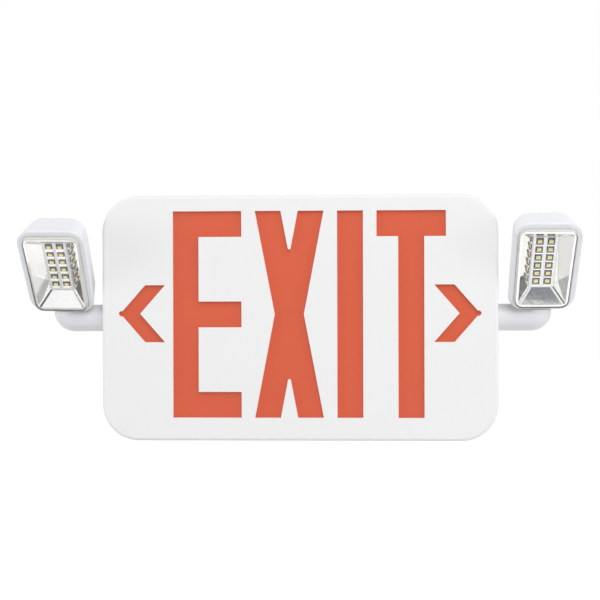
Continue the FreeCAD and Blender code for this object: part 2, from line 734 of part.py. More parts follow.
def strip_board(label, level):
    """A lamp strip against the tray's TOP or BOTTOM wall."""
    middle = tray_half_height - dim.tray_wall - dim.strip_thickness / 2
    low = middle * level - dim.strip_thickness / 2
    front = -(tray_back + dim.tray_wall + dim.strip_width)
    return box(label, -(dim.strip_length / 2), front, low,
               dim.strip_length, dim.strip_width, dim.strip_thickness)


def strip_lamps(label, level):
    """The legend lamps, evenly spaced along their strip and facing into the tray."""
    count = int(dim.strip_led_count.number)
    pitch = dim.strip_length / count
    middle = strip_level - dim.strip_led_height / 2
    low = middle * level - dim.strip_led_height / 2
    front = -(tray_back + dim.tray_wall + dim.strip_width / 2 + dim.strip_led_width / 2)
    lamps = []
    for number in range(count):
        left = pitch * (number + 0.5) - dim.strip_length / 2 - dim.strip_led_length / 2
        lamps.append(box(f"{label}_{number + 1}", left, front, low,
                         dim.strip_led_length, dim.strip_led_width, dim.strip_led_height))
    return compound(label, lamps)


# ----------------------------------------------------------------- housing

button_middle = dim.plate_thickness + dim.board_stand + dim.board_thickness + dim.switch_depth / 2
light_middle = button_middle
arm_middle = dim.body_depth / 2


def post_places():
    up = inner_half_height - dim.post_inset
    across = dim.post_spacing / 2
    return [(across * side, up * level) for side in (RIGHT, LEFT) for level in (TOP, BOTTOM)]


def housing():
    """The open frame round the works, with a socket for each arm."""
    body = new_body("housing")
    wall = new_sketch(body, "XZ_Plane")
    draw_rounded(wall, half_width, half_height, dim.corner_radius)
    draw_rounded(wall, inner_half_width, inner_half_height, inner_corner)
    pad(body, wall, cover_back)

    lip = new_sketch(body, "XZ_Plane", cover_back)
    lip_inset = dim.rebate_wall + dim.fit_gap
    draw_rounded(lip, half_width - lip_inset, half_height - lip_inset, dim.corner_radius - lip_inset)
    draw_rounded(lip, inner_half_width, inner_half_height, inner_corner)
    pad(body, lip, dim.lip_length)

    posts = new_sketch(body, "XZ_Plane", dim.plate_thickness)
    for across, up in post_places():
        draw_circle(posts, across, up, dim.post_radius)
    pad(body, posts, tray_back - dim.plate_thickness)

    for side in (RIGHT, LEFT):
        socket = new_sketch(body, "YZ_Plane", (inner_half_width - dim.socket_length) * side)
        draw_circle(socket, -arm_middle, ZERO, dim.socket_radius)
        pad(body, socket, dim.socket_length + dim.fit_gap, backwards=side == LEFT)
        bore = new_sketch(body, "YZ_Plane", half_width * side)
        draw_circle(bore, -arm_middle, ZERO, dim.journal_radius + dim.journal_gap)
        pocket(body, bore, dim.wall + dim.socket_length, forwards=side == LEFT)

    # Ribs at half height stiffen the long walls between the posts.
    for level in (TOP, BOTTOM):
        ribs = new_sketch(body, "XZ_Plane", dim.plate_thickness)
        for step in (-1, 0, 1):
            across = dim.hook_spacing * step / 2
            draw_rectangle(ribs, across - dim.rib_thickness / 2, across + dim.rib_thickness / 2,
                           inner_half_height * level - dim.post_inset,
                           inner_half_height * level + dim.post_inset)
        pad(body, ribs, cover_back - dim.plate_thickness - dim.hook_length)

    bottom_holes = new_sketch(body, "XY_Plane", -half_height)
    draw_circle(bottom_holes, dim.button_across, -button_middle, dim.button_radius + dim.fit_gap)
    draw_circle(bottom_holes, dim.light_across, -light_middle, dim.light_radius + dim.fit_gap)
    pocket(body, bottom_holes, dim.wall, forwards=True)

    trim_outside_ribs(body)
    cut_hook_windows(body)
    return body


def trim_outside_ribs(body):
    """Take off what the posts and ribs leave outside the housing's outline."""
    outside = new_sketch(body, "XZ_Plane")
    margin = dim.post_radius * 2
    draw_rectangle(outside, -(half_width + margin), half_width + margin,
                   -(half_height + margin), half_height + margin)
    draw_rounded(outside, half_width, half_height, dim.corner_radius)
    pocket(body, outside, dim.body_depth, forwards=True)


def cut_hook_windows(body):
    """Shallow windows inside the long walls, one for the barb of each hook."""
    for level in (TOP, BOTTOM):
        windows = new_sketch(body, "XY_Plane", inner_half_height * level)
        tip = dim.hook_length - cover_back
        for across in hook_places():
            half_window = dim.hook_width / 2 + dim.run_gap
            draw_rectangle(windows, across - half_window, across + half_window,
                           tip - dim.hook_barb_length - dim.run_gap, tip + dim.run_gap)
        pocket(body, windows, dim.hook_barb + dim.run_gap, forwards=level == TOP)


# -------------------------------------------------------------- back plate

plate_front = dim.plate_thickness
battery_height = dim.cell_pitch * (dim.cell_count - 1) + dim.cell_radius * 2
battery_right = dim.cell_length - dim.battery_left
battery_middle = battery_right - dim.cell_length / 2
battery_top = battery_height - dim.battery_low


def board_hole_places():
    left, low = dim.board_left + dim.board_hole_inset, dim.board_hole_inset - dim.board_low
    right = dim.board_left + dim.board_width - dim.board_hole_inset
    high = dim.board_height - dim.board_low - dim.board_hole_inset
    return [(left, low), (right, low), (right, high), (left, high)]


def strap_hole_places():
    """The middles of the strap's feet, above and below the battery pack."""
    reach = dim.run_gap + dim.strap_thickness + dim.strap_foot / 2
    return [(battery_middle, battery_top + reach), (battery_middle, -dim.battery_low - reach)]


def knockout_places():
    """Knock-outs above and below the wire hole, and on the four diagonals."""
    reach = dim.knockout_circle / 2
    diagonal = dim.screw_slot_spacing / 2 * math.cos(math.radians(DIAGONAL))
    places = [(ZERO, reach), (ZERO, -reach)]
    for side in (RIGHT, LEFT):
        for level in (TOP, BOTTOM):
            places.append((diagonal * side, diagonal * level))
    return places


def back_plate():
    """The plate on the wall, with the posts and cradle for what it carries."""
    body = new_body("back_plate")
    outline = new_sketch(body, "XZ_Plane")
    draw_rounded(outline, inner_half_width - dim.fit_gap, inner_half_height - dim.fit_gap,
                 inner_corner - dim.fit_gap)
    pad(body, outline, dim.plate_thickness)

    posts = new_sketch(body, "XZ_Plane", plate_front)
    for across, up in board_hole_places():
        draw_circle(posts, across, up, dim.board_post_radius)
    pad(body, posts, dim.board_stand)
    bosses = new_sketch(body, "XZ_Plane", plate_front)
    for across, up in strap_hole_places():
        draw_circle(bosses, across, up, dim.board_post_radius)
    pad(body, bosses, dim.strap_boss_height)

    cradle = new_sketch(body, "XZ_Plane", plate_front)
    for left in (-dim.battery_left - dim.run_gap - dim.rib_thickness, battery_right + dim.run_gap):
        draw_rectangle(cradle, left, left + dim.rib_thickness, -dim.battery_low, battery_top)
    pad(body, cradle, dim.cradle_height)

    ribs = new_sketch(body, "XZ_Plane", plate_front)
    rib_reach = dim.post_spacing / 2
    for up in (inner_half_height - dim.plate_rib_inset, battery_top + dim.plate_rib_rise):
        draw_rectangle(ribs, -rib_reach, rib_reach, up, up + dim.rib_thickness)
    pad(body, ribs, dim.plate_rib_height)

    openings = new_sketch(body, "XZ_Plane", plate_front)
    draw_circle(openings, ZERO, ZERO, dim.wire_hole_radius)
    for side in (RIGHT, LEFT):
        draw_slot(openings, dim.screw_slot_spacing / 2 * side, dim.screw_slot_length / 2,
                  dim.screw_slot_radius)
    pocket(body, openings, dim.plate_thickness)

    scores = new_sketch(body, "XZ_Plane")
    for across, up in knockout_places():
        draw_circle(scores, across, up, dim.knockout_radius)
        draw_circle(scores, across, up, dim.knockout_radius + dim.knockout_score)
    pocket(body, scores, dim.knockout_depth, forwards=True)

    for places, depth in ((board_hole_places(), dim.board_stand),
                          (strap_hole_places(), dim.strap_boss_height)):
        holes = new_sketch(body, "XZ_Plane", plate_front + depth)
        for across, up in places:
            draw_circle(holes, across, up, dim.screw_radius + dim.snug_gap)
        pocket(body, holes, dim.screw_length)
    return body


# ----------------------------------------------------------------- battery

def battery_pack():
    """Cells side by side in one shrink wrap."""
    cells = []
    depth = plate_front + dim.cell_radius
    for number in range(int(dim.cell_count.number)):
        up = dim.cell_radius - dim.battery_low + dim.cell_pitch * number
        cells.append(cylinder(f"cell_{number + 1}", (-dim.battery_left, -depth, up),
                              dim.cell_radius, dim.cell_length, X_AXIS))
    wrap = box("wrap", -dim.battery_left, -(depth + dim.wrap_height / 2),
               dim.cell_radius - dim.battery_low, dim.cell_length, dim.wrap_height,
               dim.cell_pitch * (dim.cell_count - 1))
    pack = doc.addObject("Part::MultiFuse", "battery_pack")
    pack.Label = "battery_pack"
    pack.Shapes = cells + [wrap]
    doc.recompute()
    return pack


def battery_strap():
    """A bent strip that holds the pack down, with a foot on each boss."""
    body = new_body("battery_strap")
    profile = new_sketch(body, "YZ_Plane", battery_middle - dim.strap_width / 2)
    seat = -(plate_front + dim.strap_boss_height)
    crown = -(plate_front + dim.cell_radius * 2 + dim.run_gap)
    low, high = -dim.battery_low - dim.run_gap, battery_top + dim.run_gap
    thick = dim.strap_thickness
    draw_outline(profile, [
        (seat, low - thick - dim.strap_foot), (seat, low), (crown, low), (crown, high),
        (seat, high), (seat, high + thick + dim.strap_foot),
        (seat - thick, high + thick + dim.strap_foot), (seat - thick, high + thick),
        (crown - thick, high + thick), (crown - thick, low - thick),
        (seat - thick, low - thick), (seat - thick, low - thick - dim.strap_foot)])
    pad(body, profile, dim.strap_width)
    holes = new_sketch(body, "XZ_Plane", -(seat - thick))
    for across, up in strap_hole_places():
        draw_circle(holes, across, up, dim.screw_radius + dim.fit_gap)
    pocket(body, holes, thick)
    return body


# ----------------------------------------------------------- charger board

board_back = plate_front + dim.board_stand
board_front = board_back + dim.board_thickness


def on_board(label, left, low, width, depth, height):
    """A block that stands on the front of the charger board."""
    return box(label, dim.board_left + left, -(board_front + depth), low - dim.board_low,
               width, depth, height)


def charger_board():
    body = new_body("charger_board")
    outline = new_sketch(body, "XZ_Plane", board_back)
    draw_rectangle(outline, dim.board_left, dim.board_left + dim.board_width,
                   -dim.board_low, dim.board_height - dim.board_low)
    pad(body, outline, dim.board_thickness)
    holes = new_sketch(body, "XZ_Plane", board_front)
    for across, up in board_hole_places():
        draw_circle(holes, across, up, dim.screw_radius + dim.fit_gap)
    pocket(body, holes, dim.board_thickness)
    return body


def transformer():
    """A laminated core with its winding showing above and below it."""
    clear = dim.board_hole_inset * 2 + dim.part_gap / 2
    top = dim.board_height - dim.part_gap / 2
    low = top - dim.transformer_height
    core = on_board("transformer_core", clear, low + dim.bobbin_margin,
                    dim.transformer_width, dim.transformer_depth,
                    dim.transformer_height - dim.bobbin_margin * 2)
    winding = on_board("transformer_winding", clear + dim.bobbin_margin, low,
                       dim.transformer_width - dim.bobbin_margin * 2,
                       dim.transformer_depth - dim.bobbin_margin, dim.transformer_height)
    whole = doc.addObject("Part::MultiFuse", "transformer")
    whole.Label = "transformer"
    whole.Shapes = [core, winding]
    doc.recompute()
    return whole


def capacitors():
    """Round cans that stand on the board, right of the transformer."""
    across = dim.board_left + dim.board_hole_inset * 2 + dim.transformer_width + dim.part_gap * 2
    across = across + dim.capacitor_radius
    up = dim.board_height - dim.board_low - dim.part_gap - dim.capacitor_radius
    cans = []
    for number in range(int(dim.capacitor_count.number)):
        centre = (across, -board_front, up - dim.capacitor_pitch * number)
        cans.append(cylinder(f"capacitor_{number + 1}", centre, dim.capacitor_radius,
                             dim.capacitor_height, -Y_AXIS))
    return compound("capacitors", cans)


def relay():
    left = dim.board_width - dim.relay_width - dim.part_gap / 2
    low = dim.board_height - dim.board_hole_inset * 2 - dim.part_gap - dim.relay_height
    return on_board("relay", left, low, dim.relay_width, dim.relay_depth, dim.relay_height)


def wire_connector():
    left = dim.board_hole_inset * 2 + dim.part_gap
    return on_board("wire_connector", left, dim.part_gap / 2,
                    dim.connector_width, dim.connector_depth, dim.connector_height)


def screw_along(label, centre, direction, shank_radius, shank_length, head_radius, head_height):
    """A pan head screw whose head sits on centre; direction leads out of the head."""
    shank = cylinder(f"{label}_shank", centre, shank_radius, shank_length, -direction)
    head = cylinder(f"{label}_head", centre, head_radius, head_height, direction)
    screw = doc.addObject("Part::MultiFuse", label)
    screw.Shapes = [shank, head]
    return screw


def small_screws(label, places, seat):
    """Pan head screws that are driven in from the front."""
    screws = [screw_along(f"{label}_{number}", (across, -seat, up), -Y_AXIS, dim.screw_radius,
                          dim.screw_length, dim.screw_head_radius, dim.screw_head_height)
              for number, (across, up) in enumerate(places, start=1)]
    return compound(label, screws)


# ------------------------------------------- test button and status light

button_face = half_height - dim.button_recess
flange_low = inner_half_height - dim.run_gap
flange_high = flange_low - dim.button_flange
switch_low = dim.board_low
stem_high = switch_low - dim.stem_depth


def test_switch():
    """The switch on the board, with a bore for the button's stem."""
    body = new_body("test_switch")
    outline = new_sketch(body, "XZ_Plane", board_front)
    half_switch = dim.switch_size / 2
    draw_rectangle(outline, dim.button_across - half_switch, dim.button_across + half_switch,
                   -switch_low, dim.switch_height - switch_low)
    pad(body, outline, dim.switch_depth)
    bore = new_sketch(body, "XY_Plane", -switch_low)
    draw_circle(bore, dim.button_across, -button_middle, dim.button_stem_radius + dim.run_gap)
    pocket(body, bore, dim.stem_depth + dim.button_travel + dim.run_gap, forwards=True)
    return body


def test_button():
    """Cap, flange and stem, turned about the button's own axis."""
    body = new_body("test_button")
    profile = new_sketch(body, "XZ_Plane")
    draw_outline(profile, [
        (ZERO, -button_face), (dim.button_radius, -button_face),
        (dim.button_radius, -flange_low), (dim.button_flange_radius, -flange_low),
        (dim.button_flange_radius, -flange_high), (dim.button_stem_radius, -flange_high),
        (dim.button_stem_radius, -stem_high), (ZERO, -stem_high)])
    turn(body, profile)
    bind_place(body, dim.button_across, -button_middle, ZERO)
    return body


def bind_place(thing, across, back, up):
    for axis, value in (("x", across), ("y", back), ("z", up)):
        thing.setExpression(f"Placement.Base.{axis}", as_size(value).formula)


def status_light():
    """A round lamp in the bottom wall, on a block that stands on the board."""
    body = new_body("status_light")
    profile = new_sketch(body, "XZ_Plane")
    shoulder = button_face - dim.light_radius / 2
    top = dim.board_low - dim.switch_height / 2
    flange = inner_half_height - dim.run_gap
    rim = dim.light_radius + dim.light_flange
    draw_outline(profile, [
        (ZERO, -button_face), (dim.light_radius / 2, -button_face),
        (dim.light_radius, -shoulder), (dim.light_radius, -flange), (rim, -flange),
        (rim, dim.light_flange - flange), (dim.light_radius, dim.light_flange - flange),
        (dim.light_radius, -top), (ZERO, -top)])
    turn(body, profile)
    block = new_sketch(body, "XY_Plane", -dim.board_low)
    draw_rectangle(block, -dim.light_radius, dim.light_radius,
                   ZERO, light_middle - board_front)
    pad(body, block, dim.switch_height / 2)
    bind_place(body, dim.light_across, -light_middle, ZERO)
    return body


# --------------------------------------------------------------- elbow arms
#
# An arm is drawn about the point where the arm axis meets the neck axis.  The
# arm axis runs along X towards the body, and the neck axis runs up along Z.

shoulder_reach = dim.arm_reach - dim.run_gap
socket_end = dim.arm_reach + dim.wall + dim.socket_length
arm_washer_near = socket_end + dim.fit_gap
arm_clip_near = arm_washer_near + dim.washer_thickness + dim.fit_gap
journal_reach = arm_clip_near + dim.clip_thickness + dim.journal_end - dim.clip_groove * 2

neck_washer_low = dim.neck_seat + dim.fit_gap
neck_clip_low = neck_washer_low + dim.washer_thickness + dim.fit_gap
spigot_high = neck_clip_low + dim.clip_thickness + dim.spigot_end


def arm_place(side):
    """Where an arm sits: at the body's side, leaning forward by its pitch."""
    pitch = dim.right_pitch if side == RIGHT else dim.left_pitch
    base = Vector((half_width + dim.arm_reach).number * side, -arm_middle.number, 0)
    return Placement(base, Rotation(X_AXIS, pitch.number))


def head_place(side):
    """Where a lamp head sits: turned on the neck, then leaned to its slant."""
    outward = dim.right_turn if side == RIGHT else dim.left_turn
    swivel = Placement(Vector(), Rotation(Z_AXIS, outward.number * side))
    lean = Placement(Vector(0, -dim.head_forward.number, dim.head_rise.number),
                     Rotation(X_AXIS, dim.head_slant.number))
    return arm_place(side) * swivel * lean


def arm(side):
    """The hollow elbow: journal, straight, bend, shoulder and spigot."""
    body = new_body(f"{SIDE_NAME[side]}_arm")
    inward = -side

    # The bend turns the lower part of the arm's section about its own centre.
    bend = new_sketch(body, "YZ_Plane", dim.bend_radius * inward)
    half_chord = math.sqrt(dim.arm_radius.number ** 2 - dim.bend_radius.number ** 2)
    chord = Part.LineSegment(Vector(-half_chord, dim.bend_radius.number, 0),
                             Vector(half_chord, dim.bend_radius.number, 0))
    angle = math.asin(dim.bend_radius.number / dim.arm_radius.number)
    section = Part.Circle(Vector(), Z_AXIS, dim.arm_radius.number)
    line = bend.addGeometry(chord)
    arc = bend.addGeometry(Part.ArcOfCircle(section, -math.pi - angle, angle))
    bend.addConstraint(Sketcher.Constraint("Coincident", line, 1, arc, 1))
    bend.addConstraint(Sketcher.Constraint("Coincident", line, 2, arc, 2))
    bend.addConstraint(Sketcher.Constraint("Horizontal", line))
    bend.addConstraint(Sketcher.Constraint("Coincident", arc, 3, -1, 1))
    for kind, args, value in (("Radius", (arc,), dim.arm_radius),
                              ("DistanceY", (line, 1), dim.bend_radius)):
        number = bend.addConstraint(Sketcher.Constraint(kind, *args, value.number))
        bend.setExpression(f"Constraints[{number}]", value.formula)
    quarter = body.newObject("PartDesign::Revolution", "Bend")
    quarter.Profile = bend
    quarter.ReferenceAxis = (bend, ["Edge1"])
    quarter.Angle = QUARTER_TURN
    quarter.Reversed = side == RIGHT
    finish_feature(body, quarter)

    def straight(start, length, radius):
        """A round length of the arm, inward from start."""
        circle = new_sketch(body, "YZ_Plane", start * inward)
        draw_circle(circle, ZERO, ZERO, radius)
        pad(body, circle, length, backwards=side == RIGHT)

    straight(dim.bend_radius, shoulder_reach - dim.bend_radius, dim.arm_radius)
    straight(shoulder_reach, journal_reach - shoulder_reach, dim.journal_radius)

    # A dome closes the top of the bend, and a round seat is turned into it.
    dome = new_sketch(body, "XZ_Plane")
    draw_half_disc(dome, dim.bend_radius * inward, dim.arm_radius)
    turn(body, dome, axis="H_Axis")
    seat = new_sketch(body, "XZ_Plane")
    draw_rectangle(seat, ZERO, dim.shoulder_radius, dim.shoulder_rise,
                   dim.arm_radius + CUT_OVERRUN)
    turn(body, seat, "PartDesign::Groove")

    # The neck leg narrows to a shoulder that clears the head as it turns.
    neck = new_sketch(body, "XZ_Plane")
    cone_low = dim.shoulder_rise - (dim.arm_radius - dim.shoulder_radius) * dim.shoulder_slope
    draw_outline(neck, [
        (ZERO, dim.bend_radius), (dim.arm_radius, dim.bend_radius),
        (dim.arm_radius, cone_low), (dim.shoulder_radius, dim.shoulder_rise),
        (dim.spigot_radius, dim.shoulder_rise), (dim.spigot_radius, neck_clip_low),
        (dim.spigot_radius - dim.clip_groove, neck_clip_low),
        (dim.spigot_radius - dim.clip_groove, neck_clip_low + dim.clip_thickness + dim.snug_gap),
        (dim.spigot_radius, neck_clip_low + dim.clip_thickness + dim.snug_gap),
        (dim.spigot_radius, spigot_high), (ZERO, spigot_high)])
    turn(body, neck)

    groove = new_sketch(body, "YZ_Plane", arm_clip_near * inward)
    draw_circle(groove, ZERO, ZERO, dim.journal_radius + dim.clip_groove)
    draw_circle(groove, ZERO, ZERO, dim.journal_radius - dim.clip_groove)
    pocket(body, groove, dim.clip_thickness + dim.snug_gap, forwards=side == LEFT)

    bore_wires(body, side)
    return body


def bore_wires(body, side):
    """The wire passage: along the arm, round the bend and up the spigot."""
    inward = -side
    path = new_sketch(body, "XZ_Plane")
    start = (journal_reach + CUT_OVERRUN) * inward
    bend_start = dim.bend_radius * inward
    top = spigot_high + CUT_OVERRUN
    along = path.addGeometry(Part.LineSegment(Vector(start.number, 0, 0),
                                              Vector(bend_start.number, 0, 0)))
    centre = Vector(bend_start.number, dim.bend_radius.number, 0)
    circle = Part.Circle(centre, Z_AXIS, dim.bend_radius.number)
    first = -math.pi / 2 if side == RIGHT else -math.pi
    round_bend = path.addGeometry(Part.ArcOfCircle(circle, first, first + math.pi / 2))
    up = path.addGeometry(Part.LineSegment(Vector(0, dim.bend_radius.number, 0),
                                           Vector(0, top.number, 0)))
    near_end, far_end = (1, 2) if side == RIGHT else (2, 1)
    path.addConstraint(Sketcher.Constraint("Tangent", along, 2, round_bend, near_end))
    path.addConstraint(Sketcher.Constraint("Tangent", up, 1, round_bend, far_end))
    place_point(path, along, 1, start, ZERO)
    place_point(path, up, 2, ZERO, top)
    path.addConstraint(Sketcher.Constraint("Vertical", up))
    number = path.addConstraint(Sketcher.Constraint("Radius", round_bend, dim.bend_radius.number))
    path.setExpression(f"Constraints[{number}]", dim.bend_radius.formula)
    path.addConstraint(Sketcher.Constraint("Horizontal", along))

    section = new_sketch(body, "YZ_Plane", start)
    draw_circle(section, ZERO, ZERO, dim.wire_bore)
    pipe = body.newObject("PartDesign::SubtractivePipe", "WirePassage")
    pipe.Profile = section
    pipe.Spine = path
    finish_feature(body, pipe)


def ring(label, plane, towards, radius, hole_radius, thickness, near_face, mouth=None):
    """A flat ring square to the plane's normal, with a mouth if it is a clip.

    Its near face stands at near_face along the normal and the ring runs on
    from there, the way of the normal (towards 1) or against it (towards -1).
    """
    body = new_body(label)
    flat = new_sketch(body, plane, near_face * towards)
    draw_circle(flat, ZERO, ZERO, radius)
    draw_circle(flat, ZERO, ZERO, hole_radius)
    pad(body, flat, thickness, backwards=towards < 0)
    if mouth is not None:
        cut = new_sketch(body, plane, near_face * towards)
        draw_rectangle(cut, -(mouth / 2), mouth / 2, ZERO, radius * 2)
        pocket(body, cut, thickness, forwards=towards > 0)
    return body


def arm_rings(side):
    """The friction washer and clip that hold an arm in its socket."""
    name = SIDE_NAME[side]
    washer = ring(f"{name}_arm_washer", "YZ_Plane", -side, dim.washer_radius,
                  dim.journal_radius + dim.fit_gap, dim.washer_thickness, arm_washer_near)
    clip = ring(f"{name}_arm_clip", "YZ_Plane", -side, dim.clip_radius,
                dim.journal_radius - dim.clip_groove + dim.snug_gap, dim.clip_thickness,
                arm_clip_near + dim.snug_gap / 2, mouth=dim.clip_mouth)
    return [washer, clip]


def neck_rings(side):
    """The friction washer and clip that hold a head on its spigot."""
    name = SIDE_NAME[side]
    washer = ring(f"{name}_neck_washer", "XY_Plane", 1, dim.neck_washer_radius,
                  dim.spigot_radius + dim.fit_gap, dim.washer_thickness, neck_washer_low)
    clip = ring(f"{name}_neck_clip", "XY_Plane", 1, dim.neck_washer_radius,
                dim.spigot_radius - dim.clip_groove + dim.snug_gap, dim.clip_thickness,
                neck_clip_low + dim.snug_gap / 2, mouth=dim.neck_clip_mouth)
    return [washer, clip]


# --------------------------------------------------------------- lamp heads
#
# A head is drawn square to its lens: X across, Y into the head from the plane
# of the lamps, and Z along the head, with the middle of the lamps at zero.

shell_depth = dim.rim_forward + dim.shell_back
cavity_back = dim.shell_back - dim.shell_wall
ledge_front = dim.rim_forward - dim.seat_depth
ledge_back = ledge_front - dim.ledge_thickness


def shell_outline(sketch, depth_from_rim, inset):
    """The shell's section at a depth behind its rim, smaller by inset all round."""
    share = depth_from_rim / shell_depth
    side = dim.back_inset_side * share + inset
    end = dim.back_inset_end * share + inset
    draw_keystone(sketch, dim.shell_top_width - side * 2, dim.shell_bottom_width - side * 2,
                  dim.shell_below - end, dim.shell_above - end)


def lens_outline(sketch, outset, radius=None):
    """The lens's outline, larger by outset all round."""
    draw_keystone(sketch, dim.lens_top_width + outset * 2, dim.lens_bottom_width + outset * 2,
                  dim.lens_below + outset, dim.lens_above + outset, radius)


def neck_sketch(body, height):
    """A sketch square to the neck axis, at a height above the arm axis."""
    sketch = new_sketch(body, "XY_Plane")
    lean = math.radians(dim.head_slant.number)
    drop = height.number - dim.head_rise.number
    back = dim.head_forward.number * math.cos(lean) + drop * math.sin(lean)
    up = drop * math.cos(lean) - dim.head_forward.number * math.sin(lean)
    slant = f"{dim.head_slant.formula}"
    rise = f"({height.formula} - {dim.head_rise.formula})"
    sketch.AttachmentOffset = Placement(Vector(0, back, up), Rotation(X_AXIS, -dim.head_slant.number))
    sketch.setExpression("AttachmentOffset.Base.y",
                         f"{dim.head_forward.formula} * cos({slant}) + {rise} * sin({slant})")
    sketch.setExpression("AttachmentOffset.Base.z",
                         f"{rise} * cos({slant}) - {dim.head_forward.formula} * sin({slant})")
    return sketch


def lamp_screw_places():
    """Opposite corners of the lamp board."""
    high = dim.lamp_board_above - dim.lamp_screw_inset
    low = dim.lamp_screw_inset - dim.lamp_board_below
    return [(-dim.lamp_screw_across, high), (dim.lamp_screw_across, low)]


def head_shell(side):
    """The tapered pod: rim, lens ledge, hollow, board bosses and neck socket."""
    body = new_body(f"{SIDE_NAME[side]}_head_shell")
    rim = new_sketch(body, "XZ_Plane", dim.rim_forward)
    shell_outline(rim, ZERO, ZERO)
    back = new_sketch(body, "XZ_Plane", -dim.shell_back)
    shell_outline(back, shell_depth, ZERO)
    loft(body, rim, back)

    # The hollow stops one wall short of the back.
    mouth = new_sketch(body, "XZ_Plane", ledge_back)
    shell_outline(mouth, dim.rim_forward - ledge_back, dim.shell_wall)
    floor = new_sketch(body, "XZ_Plane", -cavity_back)
    shell_outline(floor, dim.rim_forward + cavity_back, dim.shell_wall)
    loft(body, mouth, floor, "PartDesign::SubtractiveLoft")

    seat = new_sketch(body, "XZ_Plane", dim.rim_forward)
    lens_outline(seat, dim.fit_gap)
    pocket(body, seat, dim.seat_depth)
    window = new_sketch(body, "XZ_Plane", ledge_front)
    lens_outline(window, -dim.ledge_width)
    pocket(body, window, dim.ledge_thickness + dim.fit_gap)

    front_y, back_y = -dim.rim_forward.number, dim.shell_back.number
    mouth_y, floor_y = -ledge_back.number, cavity_back.number
    seat_y = -ledge_front.number
    round_edges(body, lambda edge: spans_depth(edge, mouth_y, floor_y),
                dim.shell_corner - dim.shell_wall)
    round_edges(body, lambda edge: spans_depth(edge, front_y, seat_y), dim.lens_corner + dim.fit_gap)
    round_edges(body, lambda edge: spans_depth(edge, front_y, back_y), dim.shell_corner)
    round_edges(body, lambda edge: lies_at_depth(edge, floor_y),
                dim.back_rounding - dim.shell_wall)
    round_edges(body, lambda edge: lies_at_depth(edge, back_y), dim.back_rounding)
    round_edges(body, lambda edge: is_rim_edge(edge, front_y), dim.rim_rounding)

    bosses = new_sketch(body, "XZ_Plane", -dim.lamp_board_thickness)
    for across, up in lamp_screw_places():
        draw_circle(bosses, across, up, dim.lamp_boss_radius)
    pad(body, bosses, cavity_back - dim.lamp_board_thickness + dim.shell_wall / 2, backwards=True)
    holes = new_sketch(body, "XZ_Plane", -dim.lamp_board_thickness)
    for across, up in lamp_screw_places():
        draw_circle(holes, across, up, dim.lamp_screw_radius + dim.snug_gap)
    pocket(body, holes, dim.screw_length)

    add_neck_socket(body)
    return body


def add_neck_socket(body):
    """The boss round the spigot, from under the shell up to its inner seat."""
    low = dim.shoulder_rise + dim.run_gap
    boss = neck_sketch(body, low)
    draw_circle(boss, ZERO, ZERO, dim.neck_radius)
    pad(body, boss, dim.neck_seat - low)
    bore = neck_sketch(body, low)
    draw_circle(bore, ZERO, ZERO, dim.spigot_radius + dim.journal_gap)
    pocket(body, bore, dim.neck_seat - low, forwards=True)


def is_rim_edge(edge, front_y):
    """True for the outer edges of the rim, and not for those of the lens seat."""
    across, up = edge.CenterOfMass.x, edge.CenterOfMass.z
    inside = (abs(across) < dim.lens_top_width.number / 2 + dim.fit_gap.number * 2
              and -dim.lens_below.number - dim.fit_gap.number * 2 < up
              < dim.lens_above.number + dim.fit_gap.number * 2)
    return lies_at_depth(edge, front_y) and not inside


def reflector(side):
    """A bright four-sided funnel round the lamps, with a rim on two lugs."""
    body = new_body(f"{SIDE_NAME[side]}_reflector")
    mouth_forward = dim.lens_forward - dim.lens_wall - dim.run_gap
    sheet = dim.reflector_wall
    inset = dim.reflector_rim

    def funnel(kind, outset):
        """The funnel's form from its mouth to its floor, larger by outset."""
        sections = []
        for forward, top, bottom, below, above in (
                (mouth_forward, dim.lens_top_width - inset * 2, dim.lens_bottom_width - inset * 2,
                 dim.lens_below - inset, dim.lens_above - inset),
                (ZERO, dim.window_width, dim.window_width, dim.window_below, dim.window_above)):
            section = new_sketch(body, "XZ_Plane", forward)
            draw_keystone(section, top + outset * 2, bottom + outset * 2, below + outset,
                          above + outset, dim.reflector_seam + outset)
            sections.append(section)
        loft(body, sections[0], sections[1], kind)

    funnel("PartDesign::AdditiveLoft", sheet)
    rim = new_sketch(body, "XZ_Plane", mouth_forward)
    lens_outline(rim, -(dim.lens_wall + dim.fit_gap), dim.lens_corner - dim.lens_wall)
    pad(body, rim, sheet, backwards=True)
    funnel("PartDesign::SubtractiveLoft", ZERO)

    # Two lugs stand on the ledge of the shell and carry the rim.
    lugs = new_sketch(body, "XZ_Plane", ledge_front)
    edge = dim.lens_wall + dim.fit_gap
    half_lug = dim.lens_corner
    for low, high in ((dim.lens_above - edge - sheet, dim.lens_above - edge),
                      (edge - dim.lens_below, edge + sheet - dim.lens_below)):
        draw_rectangle(lugs, -half_lug, half_lug, low, high)
    pad(body, lugs, mouth_forward - ledge_front)
    return body


def lamp_board(side):
    """The white board that carries the lamps."""
    body = new_body(f"{SIDE_NAME[side]}_lamp_board")
    outline = new_sketch(body, "XZ_Plane")
    half_board = dim.lamp_board_width / 2
    draw_rectangle(outline, -half_board, half_board, -dim.lamp_board_below, dim.lamp_board_above)
    pad(body, outline, dim.lamp_board_thickness, backwards=True)
    holes = new_sketch(body, "XZ_Plane")
    for across, up in lamp_screw_places():
        draw_circle(holes, across, up, dim.lamp_screw_radius + dim.fit_gap)
    pocket(body, holes, dim.lamp_board_thickness)
    return body


